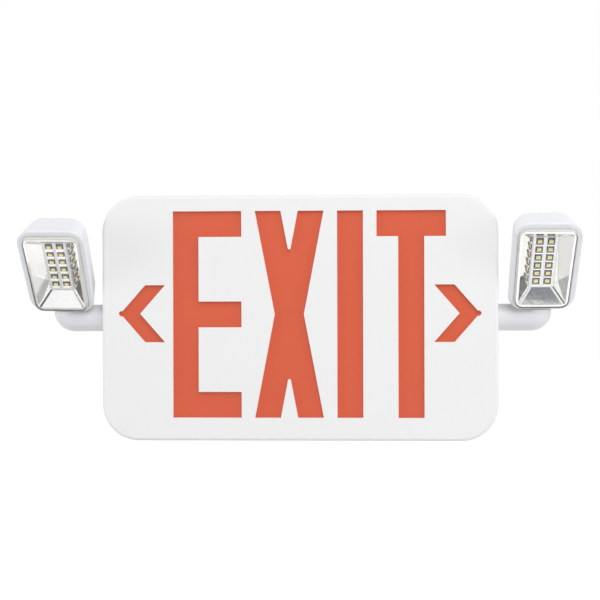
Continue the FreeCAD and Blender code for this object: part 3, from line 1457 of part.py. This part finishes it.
def lamps(side):
    """Rows and columns of square lamps, evenly spaced about the middle."""
    label = f"{SIDE_NAME[side]}_lamps"
    rows, columns = int(dim.led_rows.number), int(dim.led_columns.number)
    members = []
    for row in range(rows):
        up = dim.led_row_pitch * (row - (rows - 1) / 2) - dim.led_height / 2
        for column in range(columns):
            across = dim.led_column_pitch * (column - (columns - 1) / 2) - dim.led_width / 2
            members.append(box(f"{label}_{row}_{column}", across, -dim.led_thickness, up,
                               dim.led_width, dim.led_thickness, dim.led_height))
    return compound(label, members)


def lamp_screws(side):
    label = f"{SIDE_NAME[side]}_lamp_screws"
    screws = [screw_along(f"{label}_{number}", (across, ZERO, up), -Y_AXIS, dim.lamp_screw_radius,
                          dim.screw_length, dim.lamp_screw_head, dim.lamp_screw_height)
              for number, (across, up) in enumerate(lamp_screw_places(), start=1)]
    return compound(label, screws)


def lens(side):
    """The clear cap: a raised front with a skirt that stands on the ledge."""
    body = new_body(f"{SIDE_NAME[side]}_lens")
    outline = new_sketch(body, "XZ_Plane", ledge_front)
    lens_outline(outline, ZERO, dim.lens_corner)
    pad(body, outline, dim.lens_forward - ledge_front)
    front_y = -dim.lens_forward.number
    round_edges(body, lambda edge: lies_at_depth(edge, front_y), dim.lens_rounding)
    hollow = new_sketch(body, "XZ_Plane", ledge_front)
    lens_outline(hollow, -dim.lens_wall, dim.lens_corner - dim.lens_wall)
    pocket(body, hollow, dim.lens_forward - ledge_front - dim.lens_wall, forwards=True)
    return body


# ---------------------------------------------------------------- assembly

def fixed_pieces():
    """Everything that stays with the housing."""
    screw_seat = plate_front + dim.strap_boss_height + dim.strap_thickness
    return [
        front_cover(), legend_panel(), light_tray(),
        strip_board("top_lamp_strip", TOP), strip_board("bottom_lamp_strip", BOTTOM),
        strip_lamps("top_strip_lamps", TOP), strip_lamps("bottom_strip_lamps", BOTTOM),
        housing(), back_plate(), battery_pack(), battery_strap(), charger_board(),
        transformer(), capacitors(), relay(), wire_connector(), test_switch(), status_light(),
        small_screws("board_screws", board_hole_places(), board_front),
        small_screws("strap_screws", strap_hole_places(), screw_seat),
    ]


def side_pieces(side):
    """One arm with its rings, and the lamp head that it carries."""
    carried = [arm(side)] + arm_rings(side) + neck_rings(side)
    for piece in carried:
        piece.Placement = arm_place(side)
    head = [head_shell(side), reflector(side), lamp_board(side), lamps(side),
            lamp_screws(side), lens(side)]
    for piece in head:
        piece.Placement = head_place(side)
    return carried + head


def export(pieces):
    """Check every object and every piece, then write one file for each piece."""
    doc.recompute()
    for item in doc.Objects:
        if "Invalid" in item.State or "Error" in item.State:
            raise RuntimeError(f"{item.Label} failed: {item.State}")
    for piece in pieces:
        if piece.Shape.isNull() or not piece.Shape.isValid() or not piece.Shape.Solids:
            raise RuntimeError(f"{piece.Label} is not a sound solid")
    os.makedirs("parts", exist_ok=True)
    for piece in pieces:
        piece.Shape.exportStep(f"parts/{piece.Label}.step")
        print(f"{piece.Label}: {len(piece.Shape.Solids)} solids, {piece.Shape.Volume:.0f} mm3")


export(fixed_pieces() + [test_button()] + side_pieces(LEFT) + side_pieces(RIGHT))
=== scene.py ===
"""Looks of the wall-mounted exit light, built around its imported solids."""
import json
import math
import bpy
import numpy as np
from mathutils import Matrix, Vector


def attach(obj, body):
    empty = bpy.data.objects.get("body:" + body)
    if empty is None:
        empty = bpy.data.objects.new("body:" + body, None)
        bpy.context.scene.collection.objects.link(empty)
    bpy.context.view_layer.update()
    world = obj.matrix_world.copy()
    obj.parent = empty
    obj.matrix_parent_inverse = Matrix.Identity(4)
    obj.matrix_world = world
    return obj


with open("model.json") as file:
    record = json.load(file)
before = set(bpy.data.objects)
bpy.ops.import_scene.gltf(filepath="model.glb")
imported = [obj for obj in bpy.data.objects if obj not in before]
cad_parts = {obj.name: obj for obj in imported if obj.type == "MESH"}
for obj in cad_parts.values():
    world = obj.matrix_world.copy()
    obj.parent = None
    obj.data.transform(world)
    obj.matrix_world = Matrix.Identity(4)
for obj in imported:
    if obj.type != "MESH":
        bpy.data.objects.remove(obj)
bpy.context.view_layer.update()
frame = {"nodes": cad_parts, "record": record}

SIDES = {"left": -1, "right": 1}
MM = 0.001

# Where a lamp head sits, as the solids have it: the neck's foot, the pitch and turn of each head
# in degrees, and the way from there to the middle of the lamps, on a board that slants.
NECK_ACROSS, NECK_OUT = 176.1 * MM, -23.0 * MM
PITCH = {"left": 7.0, "right": 2.0}
TURN = {"left": 6.0, "right": 7.0}
LAMPS_OUT, LAMPS_UP, SLANT = -21.0 * MM, 42.15 * MM, 28.0
LAMP_ROWS, LAMP_COLUMNS = 6, 2
ROW_PITCH, COLUMN_PITCH = 6.55 * MM, 8.35 * MM



# ------------------------------------------------------------ shader groups

def new_group(name, inputs, outputs):
    """A shader node group with the named sockets: (name, kind, value)."""
    group = bpy.data.node_groups.new(name, "ShaderNodeTree")
    for label, kind, value in inputs:
        socket = group.interface.new_socket(label, in_out="INPUT", socket_type=kind)
        if value is not None:
            socket.default_value = value
    for label, kind in outputs:
        group.interface.new_socket(label, in_out="OUTPUT", socket_type=kind)
    return group, group.nodes.new("NodeGroupInput"), group.nodes.new("NodeGroupOutput")


def wire(tree, *pairs):
    """Links each (output, input) pair."""
    for out, into in pairs:
        tree.links.new(out, into)


def math_node(tree, operation, first, second):
    """first (operation) second; each is a socket or a number."""
    node = tree.nodes.new("ShaderNodeMath")
    node.operation = operation
    for socket, value in zip(node.inputs, (first, second)):
        if isinstance(value, (int, float)):
            socket.default_value = value
        else:
            tree.links.new(value, socket)
    return node.outputs[0]


def noise(tree, vector, scale, detail=3.0):
    """Noise over a vector; its scale is a socket or a number."""
    node = tree.nodes.new("ShaderNodeTexNoise")
    node.inputs["Detail"].default_value = detail
    tree.links.new(vector, node.inputs["Vector"])
    if isinstance(scale, (int, float)):
        node.inputs["Scale"].default_value = scale
    else:
        tree.links.new(scale, node.inputs["Scale"])
    return node.outputs["Fac"]


def moulded_skin_group():
    """Moulded plastic: a fine spark-eroded grain, and a faint slow drift of tone and gloss.

    Colour = base * (1 - drift * slow noise); Height = fine noise;
    Gloss = roughness + 0.1 * slow noise.
    """
    group, given, out = new_group("moulded skin", [
        ("Vector", "NodeSocketVector", None),
        ("Base", "NodeSocketColor", (0.8, 0.8, 0.8, 1.0)),
        ("Drift", "NodeSocketFloat", 0.03),
        ("Roughness", "NodeSocketFloat", 0.4),
        ("Grain Scale", "NodeSocketFloat", 2500.0),
        ("Drift Scale", "NodeSocketFloat", 18.0),
    ], [
        ("Colour", "NodeSocketColor"),
        ("Gloss", "NodeSocketFloat"),
        ("Height", "NodeSocketFloat"),
    ])
    fine = noise(group, given.outputs["Vector"], given.outputs["Grain Scale"])
    slow = noise(group, given.outputs["Vector"], given.outputs["Drift Scale"], 2.0)
    loss = math_node(group, "MULTIPLY", slow, given.outputs["Drift"])
    kept = math_node(group, "SUBTRACT", 1.0, loss)
    tint = group.nodes.new("ShaderNodeVectorMath")
    tint.operation = "SCALE"
    wire(group, (given.outputs["Base"], tint.inputs[0]), (kept, tint.inputs["Scale"]),
         (tint.outputs[0], out.inputs["Colour"]), (fine, out.inputs["Height"]))
    drift = math_node(group, "MULTIPLY", slow, 0.1)
    wire(group, (math_node(group, "ADD", drift, given.outputs["Roughness"]), out.inputs["Gloss"]))
    return group


def drawn_metal_group():
    """Drawn metal: fine scratches along X, from noise on (0.08 x, y, z).

    Height = noise; Gloss = roughness + 0.2 * noise.
    """
    group, given, out = new_group("drawn metal", [
        ("Vector", "NodeSocketVector", None),
        ("Roughness", "NodeSocketFloat", 0.3),
        ("Scale", "NodeSocketFloat", 900.0),
    ], [("Gloss", "NodeSocketFloat"), ("Height", "NodeSocketFloat")])
    squeeze = group.nodes.new("ShaderNodeVectorMath")
    squeeze.operation = "MULTIPLY"
    squeeze.inputs[1].default_value = (0.08, 1.0, 1.0)
    wire(group, (given.outputs["Vector"], squeeze.inputs[0]))
    lines = noise(group, squeeze.outputs[0], given.outputs["Scale"], 4.0)
    wire(group, (lines, out.inputs["Height"]))
    drift = math_node(group, "MULTIPLY", lines, 0.2)
    wire(group, (math_node(group, "ADD", drift, given.outputs["Roughness"]), out.inputs["Gloss"]))
    return group


SKIN = moulded_skin_group()
DRAWN = drawn_metal_group()


# ---------------------------------------------------------------- materials

def new_material(name):
    """A new material with its tree, its Principled shader and its output."""
    material = bpy.data.materials.new(name)
    material.use_nodes = True
    tree = material.node_tree
    return material, tree, tree.nodes["Principled BSDF"], tree.nodes["Material Output"]


def use_group(tree, group, **values):
    """Places a group, fed with Object coordinates and its own values."""
    node = tree.nodes.new("ShaderNodeGroup")
    node.node_tree = group
    place = tree.nodes.new("ShaderNodeTexCoord")
    tree.links.new(place.outputs["Object"], node.inputs["Vector"])
    for label, value in values.items():
        node.inputs[label.replace("_", " ")].default_value = value
    return node


def raise_surface(tree, height, shader, distance):
    """Bumps the shader's surface by height, up to the given distance."""
    bump = tree.nodes.new("ShaderNodeBump")
    bump.inputs["Distance"].default_value = distance
    bump.inputs["Strength"].default_value = 1.0
    wire(tree, (height, bump.inputs["Height"]), (bump.outputs["Normal"], shader.inputs["Normal"]))


def plastic(name, colour, roughness=0.4, drift=0.03, grain=0.02 * MM, grain_scale=2500.0, **extra):
    """Moulded plastic of one colour with its grain; extra sets the shader's own sockets."""
    material, tree, shader, _ = new_material(name)
    skin = use_group(tree, SKIN, Base=(*colour, 1.0), Drift=drift, Roughness=roughness,
                     Grain_Scale=grain_scale)
    wire(tree, (skin.outputs["Colour"], shader.inputs["Base Color"]),
         (skin.outputs["Gloss"], shader.inputs["Roughness"]))
    raise_surface(tree, skin.outputs["Height"], shader, grain)
    for label, value in extra.items():
        shader.inputs[label.replace("_", " ")].default_value = value
    return material


def metal(name, colour, roughness=0.3, scratch=0.004 * MM):
    """Plated metal of one colour with drawn scratches."""
    material, tree, shader, _ = new_material(name)
    drawn = use_group(tree, DRAWN, Roughness=roughness)
    shader.inputs["Base Color"].default_value = (*colour, 1.0)
    shader.inputs["Metallic"].default_value = 1.0
    wire(tree, (drawn.outputs["Gloss"], shader.inputs["Roughness"]))
    raise_surface(tree, drawn.outputs["Height"], shader, scratch)
    return material


# Painted edge light on the clear caps: a lower clear share and a pale beige tint where their
# rounded edges and skirts turn away from the front.
EDGE_LIGHT_CLEAR_SHARE = 0.25
PAINTED_EDGE_LIGHT_TINT, CLEAR_TINT = (0.70, 0.69, 0.65), (0.985, 0.985, 0.98)
FLOW_SCALE = 60.0
ACRYLIC_IOR = 1.49


def clear_plastic(name, axis):
    """Clear moulded cap: polished, faintly wavy, lighter and paler at its edges by painted light,
    and no bar to lamplight.

    axis is the way the cap faces. With k = |normal . axis|, the clear share runs from
    EDGE_LIGHT_CLEAR_SHARE at k = 0.90 to 1 at k = 0.98, and the colour from the pale beige
    PAINTED_EDGE_LIGHT_TINT to CLEAR_TINT. This is painted light, so that the rounded edge and the
    skirt look lit as the edges of clear plastic do, and the flat front stays clear.
    """
    material, tree, shader, output = new_material(name)
    place = tree.nodes.new("ShaderNodeTexCoord")
    facing = tree.nodes.new("ShaderNodeVectorMath")
    facing.operation = "DOT_PRODUCT"
    facing.inputs[1].default_value = axis
    wire(tree, (place.outputs["Normal"], facing.inputs[0]))
    straight = math_node(tree, "ABSOLUTE", facing.outputs["Value"], 0.0)
    clear = tree.nodes.new("ShaderNodeMapRange")
    for label, value in (("From Min", 0.90), ("From Max", 0.98), ("To Min", EDGE_LIGHT_CLEAR_SHARE),
                         ("To Max", 1.0)):
        clear.inputs[label].default_value = value
    tint = tree.nodes.new("ShaderNodeMix")
    tint.data_type = "RGBA"
    tint.inputs["A"].default_value = (*PAINTED_EDGE_LIGHT_TINT, 1.0)
    tint.inputs["B"].default_value = (*CLEAR_TINT, 1.0)
    wire(tree, (straight, clear.inputs["Value"]),
         (clear.outputs["Result"], shader.inputs["Transmission Weight"]),
         (clear.outputs["Result"], tint.inputs["Factor"]),
         (tint.outputs["Result"], shader.inputs["Base Color"]))
    flow = noise(tree, place.outputs["Object"], FLOW_SCALE, 1.0)
    raise_surface(tree, flow, shader, 0.03 * MM)
    shader.inputs["Roughness"].default_value = 0.02
    shader.inputs["IOR"].default_value = ACRYLIC_IOR
    path = tree.nodes.new("ShaderNodeLightPath")
    open_side = tree.nodes.new("ShaderNodeBsdfTransparent")
    open_side.inputs["Color"].default_value = (0.99, 0.99, 0.99, 1.0)
    mix = tree.nodes.new("ShaderNodeMixShader")
    wire(tree, (path.outputs["Is Shadow Ray"], mix.inputs[0]), (shader.outputs[0], mix.inputs[1]),
         (open_side.outputs[0], mix.inputs[2]), (mix.outputs[0], output.inputs["Surface"]))
    return material


def mirror_coat(name, colour, roughness, grain_scale, grain):
    """Vacuum-metallised plastic: a mirror with the ripple or the frosting of its moulding."""
    material, tree, shader, _ = new_material(name)
    skin = use_group(tree, SKIN, Base=(*colour, 1.0), Drift=0.02, Grain_Scale=grain_scale)
    wire(tree, (skin.outputs["Colour"], shader.inputs["Base Color"]))
    shader.inputs["Metallic"].default_value = 1.0
    shader.inputs["Roughness"].default_value = roughness
    raise_surface(tree, skin.outputs["Height"], shader, grain)
    return material


def circuit_board():
    """Green mask over fine copper tracks: a stack of bricks whose joints are the tracks."""
    material, tree, shader, _ = new_material("circuit board")
    place = tree.nodes.new("ShaderNodeTexCoord")
    swap = tree.nodes.new("ShaderNodeMapping")
    swap.inputs["Rotation"].default_value = (math.radians(90), 0, 0)
    tracks = tree.nodes.new("ShaderNodeTexBrick")
    tracks.inputs["Scale"].default_value = 300.0
    tracks.inputs["Mortar Size"].default_value = 0.04
    tracks.inputs["Color1"].default_value = (0.012, 0.10, 0.035, 1)
    tracks.inputs["Color2"].default_value = (0.015, 0.12, 0.045, 1)
    tracks.inputs["Mortar"].default_value = (0.05, 0.20, 0.08, 1)
    shader.inputs["Roughness"].default_value = 0.3
    wire(tree, (place.outputs["Object"], swap.inputs["Vector"]),
         (swap.outputs["Vector"], tracks.inputs["Vector"]),
         (tracks.outputs["Color"], shader.inputs["Base Color"]))
    raise_surface(tree, tracks.outputs["Fac"], shader, 0.03 * MM)
    return material


def laminated_steel():
    """A stack of varnished plates: a sine wave along the depth, one plate to each half of it."""
    material, tree, shader, _ = new_material("transformer laminations")
    place = tree.nodes.new("ShaderNodeTexCoord")
    stack = tree.nodes.new("ShaderNodeTexWave")
    stack.bands_direction = "Y"
    stack.inputs["Scale"].default_value = 320.0
    ramp = tree.nodes.new("ShaderNodeValToRGB")
    ramp.color_ramp.elements[0].color = (0.05, 0.045, 0.035, 1)
    ramp.color_ramp.elements[1].color = (0.20, 0.18, 0.14, 1)
    shader.inputs["Metallic"].default_value = 0.6
    shader.inputs["Roughness"].default_value = 0.45
    wire(tree, (place.outputs["Object"], stack.inputs["Vector"]),
         (stack.outputs["Fac"], ramp.inputs[0]), (ramp.outputs[0], shader.inputs["Base Color"]))
    raise_surface(tree, stack.outputs["Fac"], shader, 0.1 * MM)
    return material


def head_matrix(side):
    """From a lamp board's own axes, X across, Y back and Z along it, to the shared frame."""
    sign = SIDES[side]
    base = Matrix.Translation((NECK_ACROSS * sign, NECK_OUT, 0))
    pitch = Matrix.Rotation(math.radians(PITCH[side]), 4, "X")
    turn = Matrix.Rotation(math.radians(TURN[side]) * sign, 4, "Z")
    lamps = Matrix.Translation((0, LAMPS_OUT, LAMPS_UP))
    return base @ pitch @ turn @ lamps @ Matrix.Rotation(math.radians(SLANT), 4, "X")


BODY_WHITE = (0.875, 0.875, 0.87)
SHELL_WHITE = (0.85, 0.855, 0.885)
ARM_WHITE = (0.81, 0.81, 0.835)
LEGEND_RED = (0.71, 0.115, 0.05)

finishes = {
    "body_white": plastic("body plastic", BODY_WHITE, 0.45),
    "legend_red": plastic("legend sheet", LEGEND_RED, 0.35, drift=0.05, grain=0.01 * MM),
    "tray_white": plastic("tray plastic", (0.90, 0.90, 0.90), 0.25),
    "board_white": plastic("white board", (0.90, 0.90, 0.885), 0.35, grain=0.01 * MM),
    "lamp_package": plastic("lamp package", (0.62, 0.62, 0.60), 0.4, grain=0.004 * MM),
    "battery_wrap": plastic("battery wrap", (0.012, 0.085, 0.34), 0.18, drift=0.2, grain=0.08 * MM,
                            grain_scale=300.0),
    "steel": metal("zinc-plated steel", (0.60, 0.61, 0.62)),
    "circuit_green": circuit_board(),
    "transformer_steel": laminated_steel(),
    "capacitor_sleeve": plastic("capacitor sleeve", (0.01, 0.015, 0.045), 0.2, drift=0.1),
    "black_plastic": plastic("black plastic", (0.012, 0.012, 0.013), 0.4, drift=0.1),
    "connector_plastic": plastic("connector plastic", (0.04, 0.26, 0.09), 0.4),
    "status_red": plastic("status light", (0.60, 0.012, 0.008), 0.08, drift=0.05, grain=0.003 * MM,
                          Coat_Weight=0.6),
    "button_white": plastic("button plastic", (0.80, 0.80, 0.80), 0.35),
    "arm_white": plastic("arm plastic", ARM_WHITE, 0.38),
    "washer_nylon": plastic("nylon", (0.70, 0.68, 0.62), 0.5),
    "shell_white": plastic("shell plastic", SHELL_WHITE, 0.28, grain=0.012 * MM),
    "reflector_chrome": mirror_coat("metallised reflector", (0.89, 0.885, 0.87), 0.05, 160.0,
                                    0.02 * MM),
}

for entry in frame["record"]["subparts"]:
    mesh = frame["nodes"][entry["node"]].data
    mesh.materials.clear()
    if entry["material_slot"] == "lens_clear":
        side = entry["node"].split("_")[0]
        mesh.materials.append(clear_plastic(f"{side} clear cap", head_matrix(side).col[1].xyz))
    else:
        mesh.materials.append(finishes[entry["material_slot"]])


# ------------------------------------------------------------- small shapes

def soft_block(half, power, around=12, up=6):
    """A closed block with rounded edges: a superellipsoid.

    x = a c(v)^p c(u)^p, z = b c(v)^p s(u)^p, y = t s(v)^p, with u round the block from 0 to 360
    degrees, v from -90 to 90, and each power keeping the sign of its sine or cosine.
    Returns its points, the two poles last, and its faces.
    """
    def keep_sign(value):
        return np.sign(value) * np.abs(value) ** power

    u = np.arange(around) * 2 * np.pi / around + np.pi / around
    v = (np.arange(1, up) / up - 0.5) * np.pi
    v, u = np.meshgrid(v, u, indexing="ij")
    points = np.stack([half[0] * keep_sign(np.cos(v)) * keep_sign(np.cos(u)),
                       half[1] * keep_sign(np.sin(v)),
                       half[2] * keep_sign(np.cos(v)) * keep_sign(np.sin(u))], axis=-1)
    points = np.vstack([points.reshape(-1, 3), [[0, -half[1], 0], [0, half[1], 0]]])
    rows = up - 1
    ring = np.arange(around)
    after = (ring + 1) % around
    level = np.arange(rows - 1)[:, None] * around
    quads = np.stack([level + ring, level + around + ring, level + around + after, level + after],
                     axis=-1).reshape(-1, 4)
    low, high = rows * around, rows * around + 1
    fans = np.vstack([np.stack([np.full(around, low), ring, after], axis=-1),
                      np.stack([np.full(around, high), after + (rows - 1) * around,
                                ring + (rows - 1) * around], axis=-1)])
    return points, [tuple(q) for q in quads.tolist()] + [tuple(f) for f in fans.tolist()]


def many(shape, centres):
    """Copies of one shape, one at each centre, as one set of points and faces."""
    points, faces = shape
    centres = np.asarray(centres, float)
    all_points = (points[None] + centres[:, None]).reshape(-1, 3)
    step = len(points)
    all_faces = [tuple(i + number * step for i in face)
                 for number in range(len(centres)) for face in faces]
    return all_points, all_faces


def make_piece(name, shape, matrix, material, body, smooth=True):
    """A mesh piece that rides a body; matrix carries its points to their place."""
    points, faces = shape
    turned = np.asarray(matrix.to_3x3()) @ points.T
    placed = turned.T + np.asarray(matrix.translation)
    mesh = bpy.data.meshes.new(name)
    mesh.from_pydata(placed.tolist(), [], faces)
    mesh.validate()
    mesh.materials.append(material)
    if smooth:
        mesh.shade_smooth()
    piece = bpy.data.objects.new(name, mesh)
    bpy.context.scene.collection.objects.link(piece)
    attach(piece, body)


def lamp_places(out=0.0, up=0.0):
    """The middle of each lamp on its board, moved by out and up."""
    rows = (np.arange(LAMP_ROWS) - (LAMP_ROWS - 1) / 2) * ROW_PITCH
    columns = (np.arange(LAMP_COLUMNS) - (LAMP_COLUMNS - 1) / 2) * COLUMN_PITCH
    column, row = np.meshgrid(columns, rows)
    return np.stack([column.ravel(), np.full(column.size, out), row.ravel() + up], axis=-1)


# ------------------------------------------------------ details of the lamps

# In each lamp's own place, in millimetres: (across, out, up), and half sizes in the same order.
WINDOW_HALF, WINDOW_OUT = (1.45, 0.14, 1.1), -0.7
# The dark patches behind the lamps are painted shade, where the recess between the reflector plate
# and the board lies in shadow.
SHADE_PATCH_HALF, SHADE_PATCH_OUT, SHADE_PATCH_UP = (2.75, 0.06, 2.15), -0.05, 0.6
RAMP_HALF = 2.75
# The ramp's section as (out, up) from the lamp's middle, and the frosted plates between and
# beside the columns as (left, right, low, high) on the board, from their front to their back.
RAMP = [(-0.05, -1.2), (-0.5, -1.3), (-1.45, -2.38), (-1.45, -3.3), (-0.05, -3.4)]
PLATES = [(-9.0, -7.0, -21.6, 20.0), (-1.36, 1.36, -21.6, 20.0), (7.0, 9.0, -21.6, 20.0),
          (-6.98, -1.38, -21.6, -20.0), (1.38, 6.98, -21.6, -20.0)]
PLATE_FRONT, PLATE_BACK = -0.14, -0.02

# The lamp windows' material has a painted glow: an emission of 0.4, though the lamps are not lit.
phosphor_painted_glow = plastic("phosphor_painted_glow", (1.0, 0.86, 0.30), 0.3, drift=0.05, grain=0.01 * MM,
                   Emission_Color=(1.0, 0.80, 0.25, 1.0), Emission_Strength=0.4)
# Painted shade: near-black patches behind the lamps stand in for the shadow in the recess between
# the reflector plate and the board.
painted_shade_pad = plastic("painted shade pad", (0.10, 0.10, 0.105), 0.35, drift=0.3, grain=0.01 * MM)
frosted_coat = mirror_coat("frosted reflector floor", (0.82, 0.815, 0.80), 0.3, 1500.0,
                           0.03 * MM)


def ramp(half_width):
    """A bright ramp under a lamp: a bar along X whose upper edge slopes to the board.

    It is the section RAMP swept from -half_width to half_width.
    """
    section = np.array(RAMP) * MM
    count = len(section)
    points = [(across, out, up) for across in (-half_width, half_width) for out, up in section]
    sides = [(i, (i + 1) % count, (i + 1) % count + count, i + count) for i in range(count)]
    return np.array(points), sides + [tuple(range(count))[::-1], tuple(range(count, 2 * count))]


def plates(outlines):
    """Thin flat boxes on the lamp board, one for each outline, from PLATE_FRONT to PLATE_BACK."""
    box_faces = ((0, 1, 2, 3), (7, 6, 5, 4), (0, 4, 5, 1), (1, 5, 6, 2), (2, 6, 7, 3), (3, 7, 4, 0))
    points, faces = [], []
    for left, right, low, high in outlines:
        start = len(points)
        points += [(x * MM, y * MM, z * MM) for y in (PLATE_FRONT, PLATE_BACK)
                   for x, z in ((left, low), (right, low), (right, high), (left, high))]
        faces += [tuple(start + i for i in face) for face in box_faces]
    return np.array(points), faces


def block(half, power):
    """A soft block from half sizes in millimetres."""
    return soft_block([size * MM for size in half], power)


for side in SIDES:
    place = head_matrix(side)
    body = f"{side}_head_body"
    # The lamp windows carry a painted glow from their material's emission.
    make_piece(f"{side}_lamp_windows",
               many(block(WINDOW_HALF, 0.3), lamp_places(out=WINDOW_OUT * MM)),
               place, phosphor_painted_glow, body)
    # The dark patches behind the lamps are painted shade.
    make_piece(f"{side}_lamp_painted_shade",
               many(block(SHADE_PATCH_HALF, 0.12), lamp_places(out=SHADE_PATCH_OUT * MM, up=SHADE_PATCH_UP * MM)),
               place, painted_shade_pad, body)
    make_piece(f"{side}_lamp_plates", plates(PLATES),
               place, frosted_coat, body, smooth=False)
    make_piece(f"{side}_lamp_ramps", many(ramp(RAMP_HALF * MM), lamp_places()),
               place, finishes["reflector_chrome"], body, smooth=False)


# ------------------------------------------------- floor, lights and camera

def is_seen(tree, in_metal=1.0):
    """1 for rays to the camera, in_metal for those off gloss and through plastic, else 0."""
    path = tree.nodes.new("ShaderNodeLightPath")
    bent = math_node(tree, "MAXIMUM", path.outputs["Is Glossy Ray"],
                     path.outputs["Is Transmission Ray"])
    return math_node(tree, "MAXIMUM", path.outputs["Is Camera Ray"],
                     math_node(tree, "MULTIPLY", bent, in_metal))


def flat_piece(name, corners, material):
    """A flat stage piece with four corners."""
    mesh = bpy.data.meshes.new(name)
    mesh.from_pydata(corners, [], [(0, 1, 2, 3)])
    mesh.materials.append(material)
    piece = bpy.data.objects.new(name, mesh)
    bpy.context.scene.collection.objects.link(piece)
    return piece


def level_square(left, right, near, far, height):
    """The corners of a level rectangle, seen from above in turn."""
    return [(left, near, height), (right, near, height), (right, far, height),
            (left, far, height)]


def upright_square(left, right, place, low, high):
    """The corners of a rectangle that faces along Y."""
    return [(left, place, low), (right, place, low), (right, place, high), (left, place, high)]


AMBIENT = 0.41
FLOOR_LEVEL, FLOOR_REACH = -0.27, 6.0
FLOOR_TONE, FLOOR_LIFT, FLOOR_IN_METAL = 0.86, 0.62, 0.8

world = bpy.data.worlds.new("studio")
bpy.context.scene.world = world
world.use_nodes = True
sky = world.node_tree
shown, soft = sky.nodes["Background"], sky.nodes.new("ShaderNodeBackground")
shown.inputs["Color"].default_value = (1, 1, 1, 1)
shown.inputs["Strength"].default_value = 1.0
soft.inputs["Color"].default_value = (0.97, 0.98, 1.0, 1)
soft.inputs["Strength"].default_value = AMBIENT
choice = sky.nodes.new("ShaderNodeMixShader")
wire(sky, (is_seen(sky), choice.inputs[0]), (soft.outputs[0], choice.inputs[1]),
     (shown.outputs[0], choice.inputs[2]),
     (choice.outputs[0], sky.nodes["World Output"].inputs["Surface"]))

pale, tree, shader, _ = new_material("pale floor")
shader.inputs["Base Color"].default_value = (FLOOR_TONE, FLOOR_TONE, FLOOR_TONE, 1)
shader.inputs["Roughness"].default_value = 0.9
shader.inputs["Emission Color"].default_value = (1, 1, 1, 1)
lift = math_node(tree, "MULTIPLY", is_seen(tree, in_metal=FLOOR_IN_METAL), FLOOR_LIFT)
wire(tree, (lift, shader.inputs["Emission Strength"]))
flat_piece("floor", level_square(-FLOOR_REACH, FLOOR_REACH, -FLOOR_REACH, FLOOR_REACH,
                                 FLOOR_LEVEL), pale)


def area_lamp(name, place, size, power):
    """A square lamp of the given side and watts, aimed at the middle of the back plate."""
    data = bpy.data.lights.new(name, "AREA")
    data.shape = "SQUARE"
    data.size = size
    data.energy = power
    lamp = bpy.data.objects.new(name, data)
    lamp.location = place
    lamp.rotation_euler = (-Vector(place)).to_track_quat("-Z", "Y").to_euler()
    # Bright metal shows the pale room and the cards, and never a lamp's own square.
    lamp.visible_glossy = lamp.visible_transmission = False
    bpy.context.scene.collection.objects.link(lamp)


area_lamp("right side", (1.6, -0.55, 0.2), 0.8, 6.0)
area_lamp("left side", (-1.6, -0.55, 0.2), 0.8, 7.5)
area_lamp("front", (0.5, -1.3, 1.3), 1.0, 14.8)
area_lamp("above", (0.2, -0.9, 1.6), 1.0, 4.5)


def card(name, corners, tone, glow=0.0):
    """A card that only gloss and clear plastic show, so that bright metal has a contrast."""
    paint, _, shader, _ = new_material(name)
    shader.inputs["Base Color"].default_value = (*tone, 1.0)
    shader.inputs["Roughness"].default_value = 1.0
    shader.inputs["Emission Color"].default_value = (0.97, 0.98, 1.0, 1.0)
    shader.inputs["Emission Strength"].default_value = glow
    piece = flat_piece(name, corners, paint)
    piece.visible_camera = piece.visible_diffuse = piece.visible_shadow = False


card("side card", level_square(-0.6, -0.02, -0.16, 0.2, -0.25), (0.85, 0.85, 0.85))
card("bright card", upright_square(-0.85, -0.35, -1.0, 0.08, 0.42), (0.0, 0.0, 0.0), glow=1.22)
card("low card", level_square(-1.5, 1.5, -3.0, -0.28, -0.14), (0.08, 0.08, 0.085))
card("front card", upright_square(-0.1, 0.9, -1.0, 0.42, 0.62), (0.25, 0.28, 0.33))

CAMERA_PLACE = Vector((80.4, -1321.5, 16.4)) * MM
CAMERA_TARGET = Vector((-0.6, -24.0, 13.15)) * MM
CAMERA_ROLL = math.radians(-0.15)
camera_data = bpy.data.cameras.new("camera")
camera_data.lens = 104.28
camera_data.sensor_width = 36.0
camera = bpy.data.objects.new("camera", camera_data)
camera.location = CAMERA_PLACE
aim = (CAMERA_TARGET - CAMERA_PLACE).to_track_quat("-Z", "Y").to_matrix()
camera.rotation_euler = (aim @ Matrix.Rotation(CAMERA_ROLL, 3, "Z")).to_euler()
bpy.context.scene.collection.objects.link(camera)
bpy.context.scene.camera = camera

bpy.context.scene.view_settings.view_transform = "Standard"

bpy.context.view_layer.update()
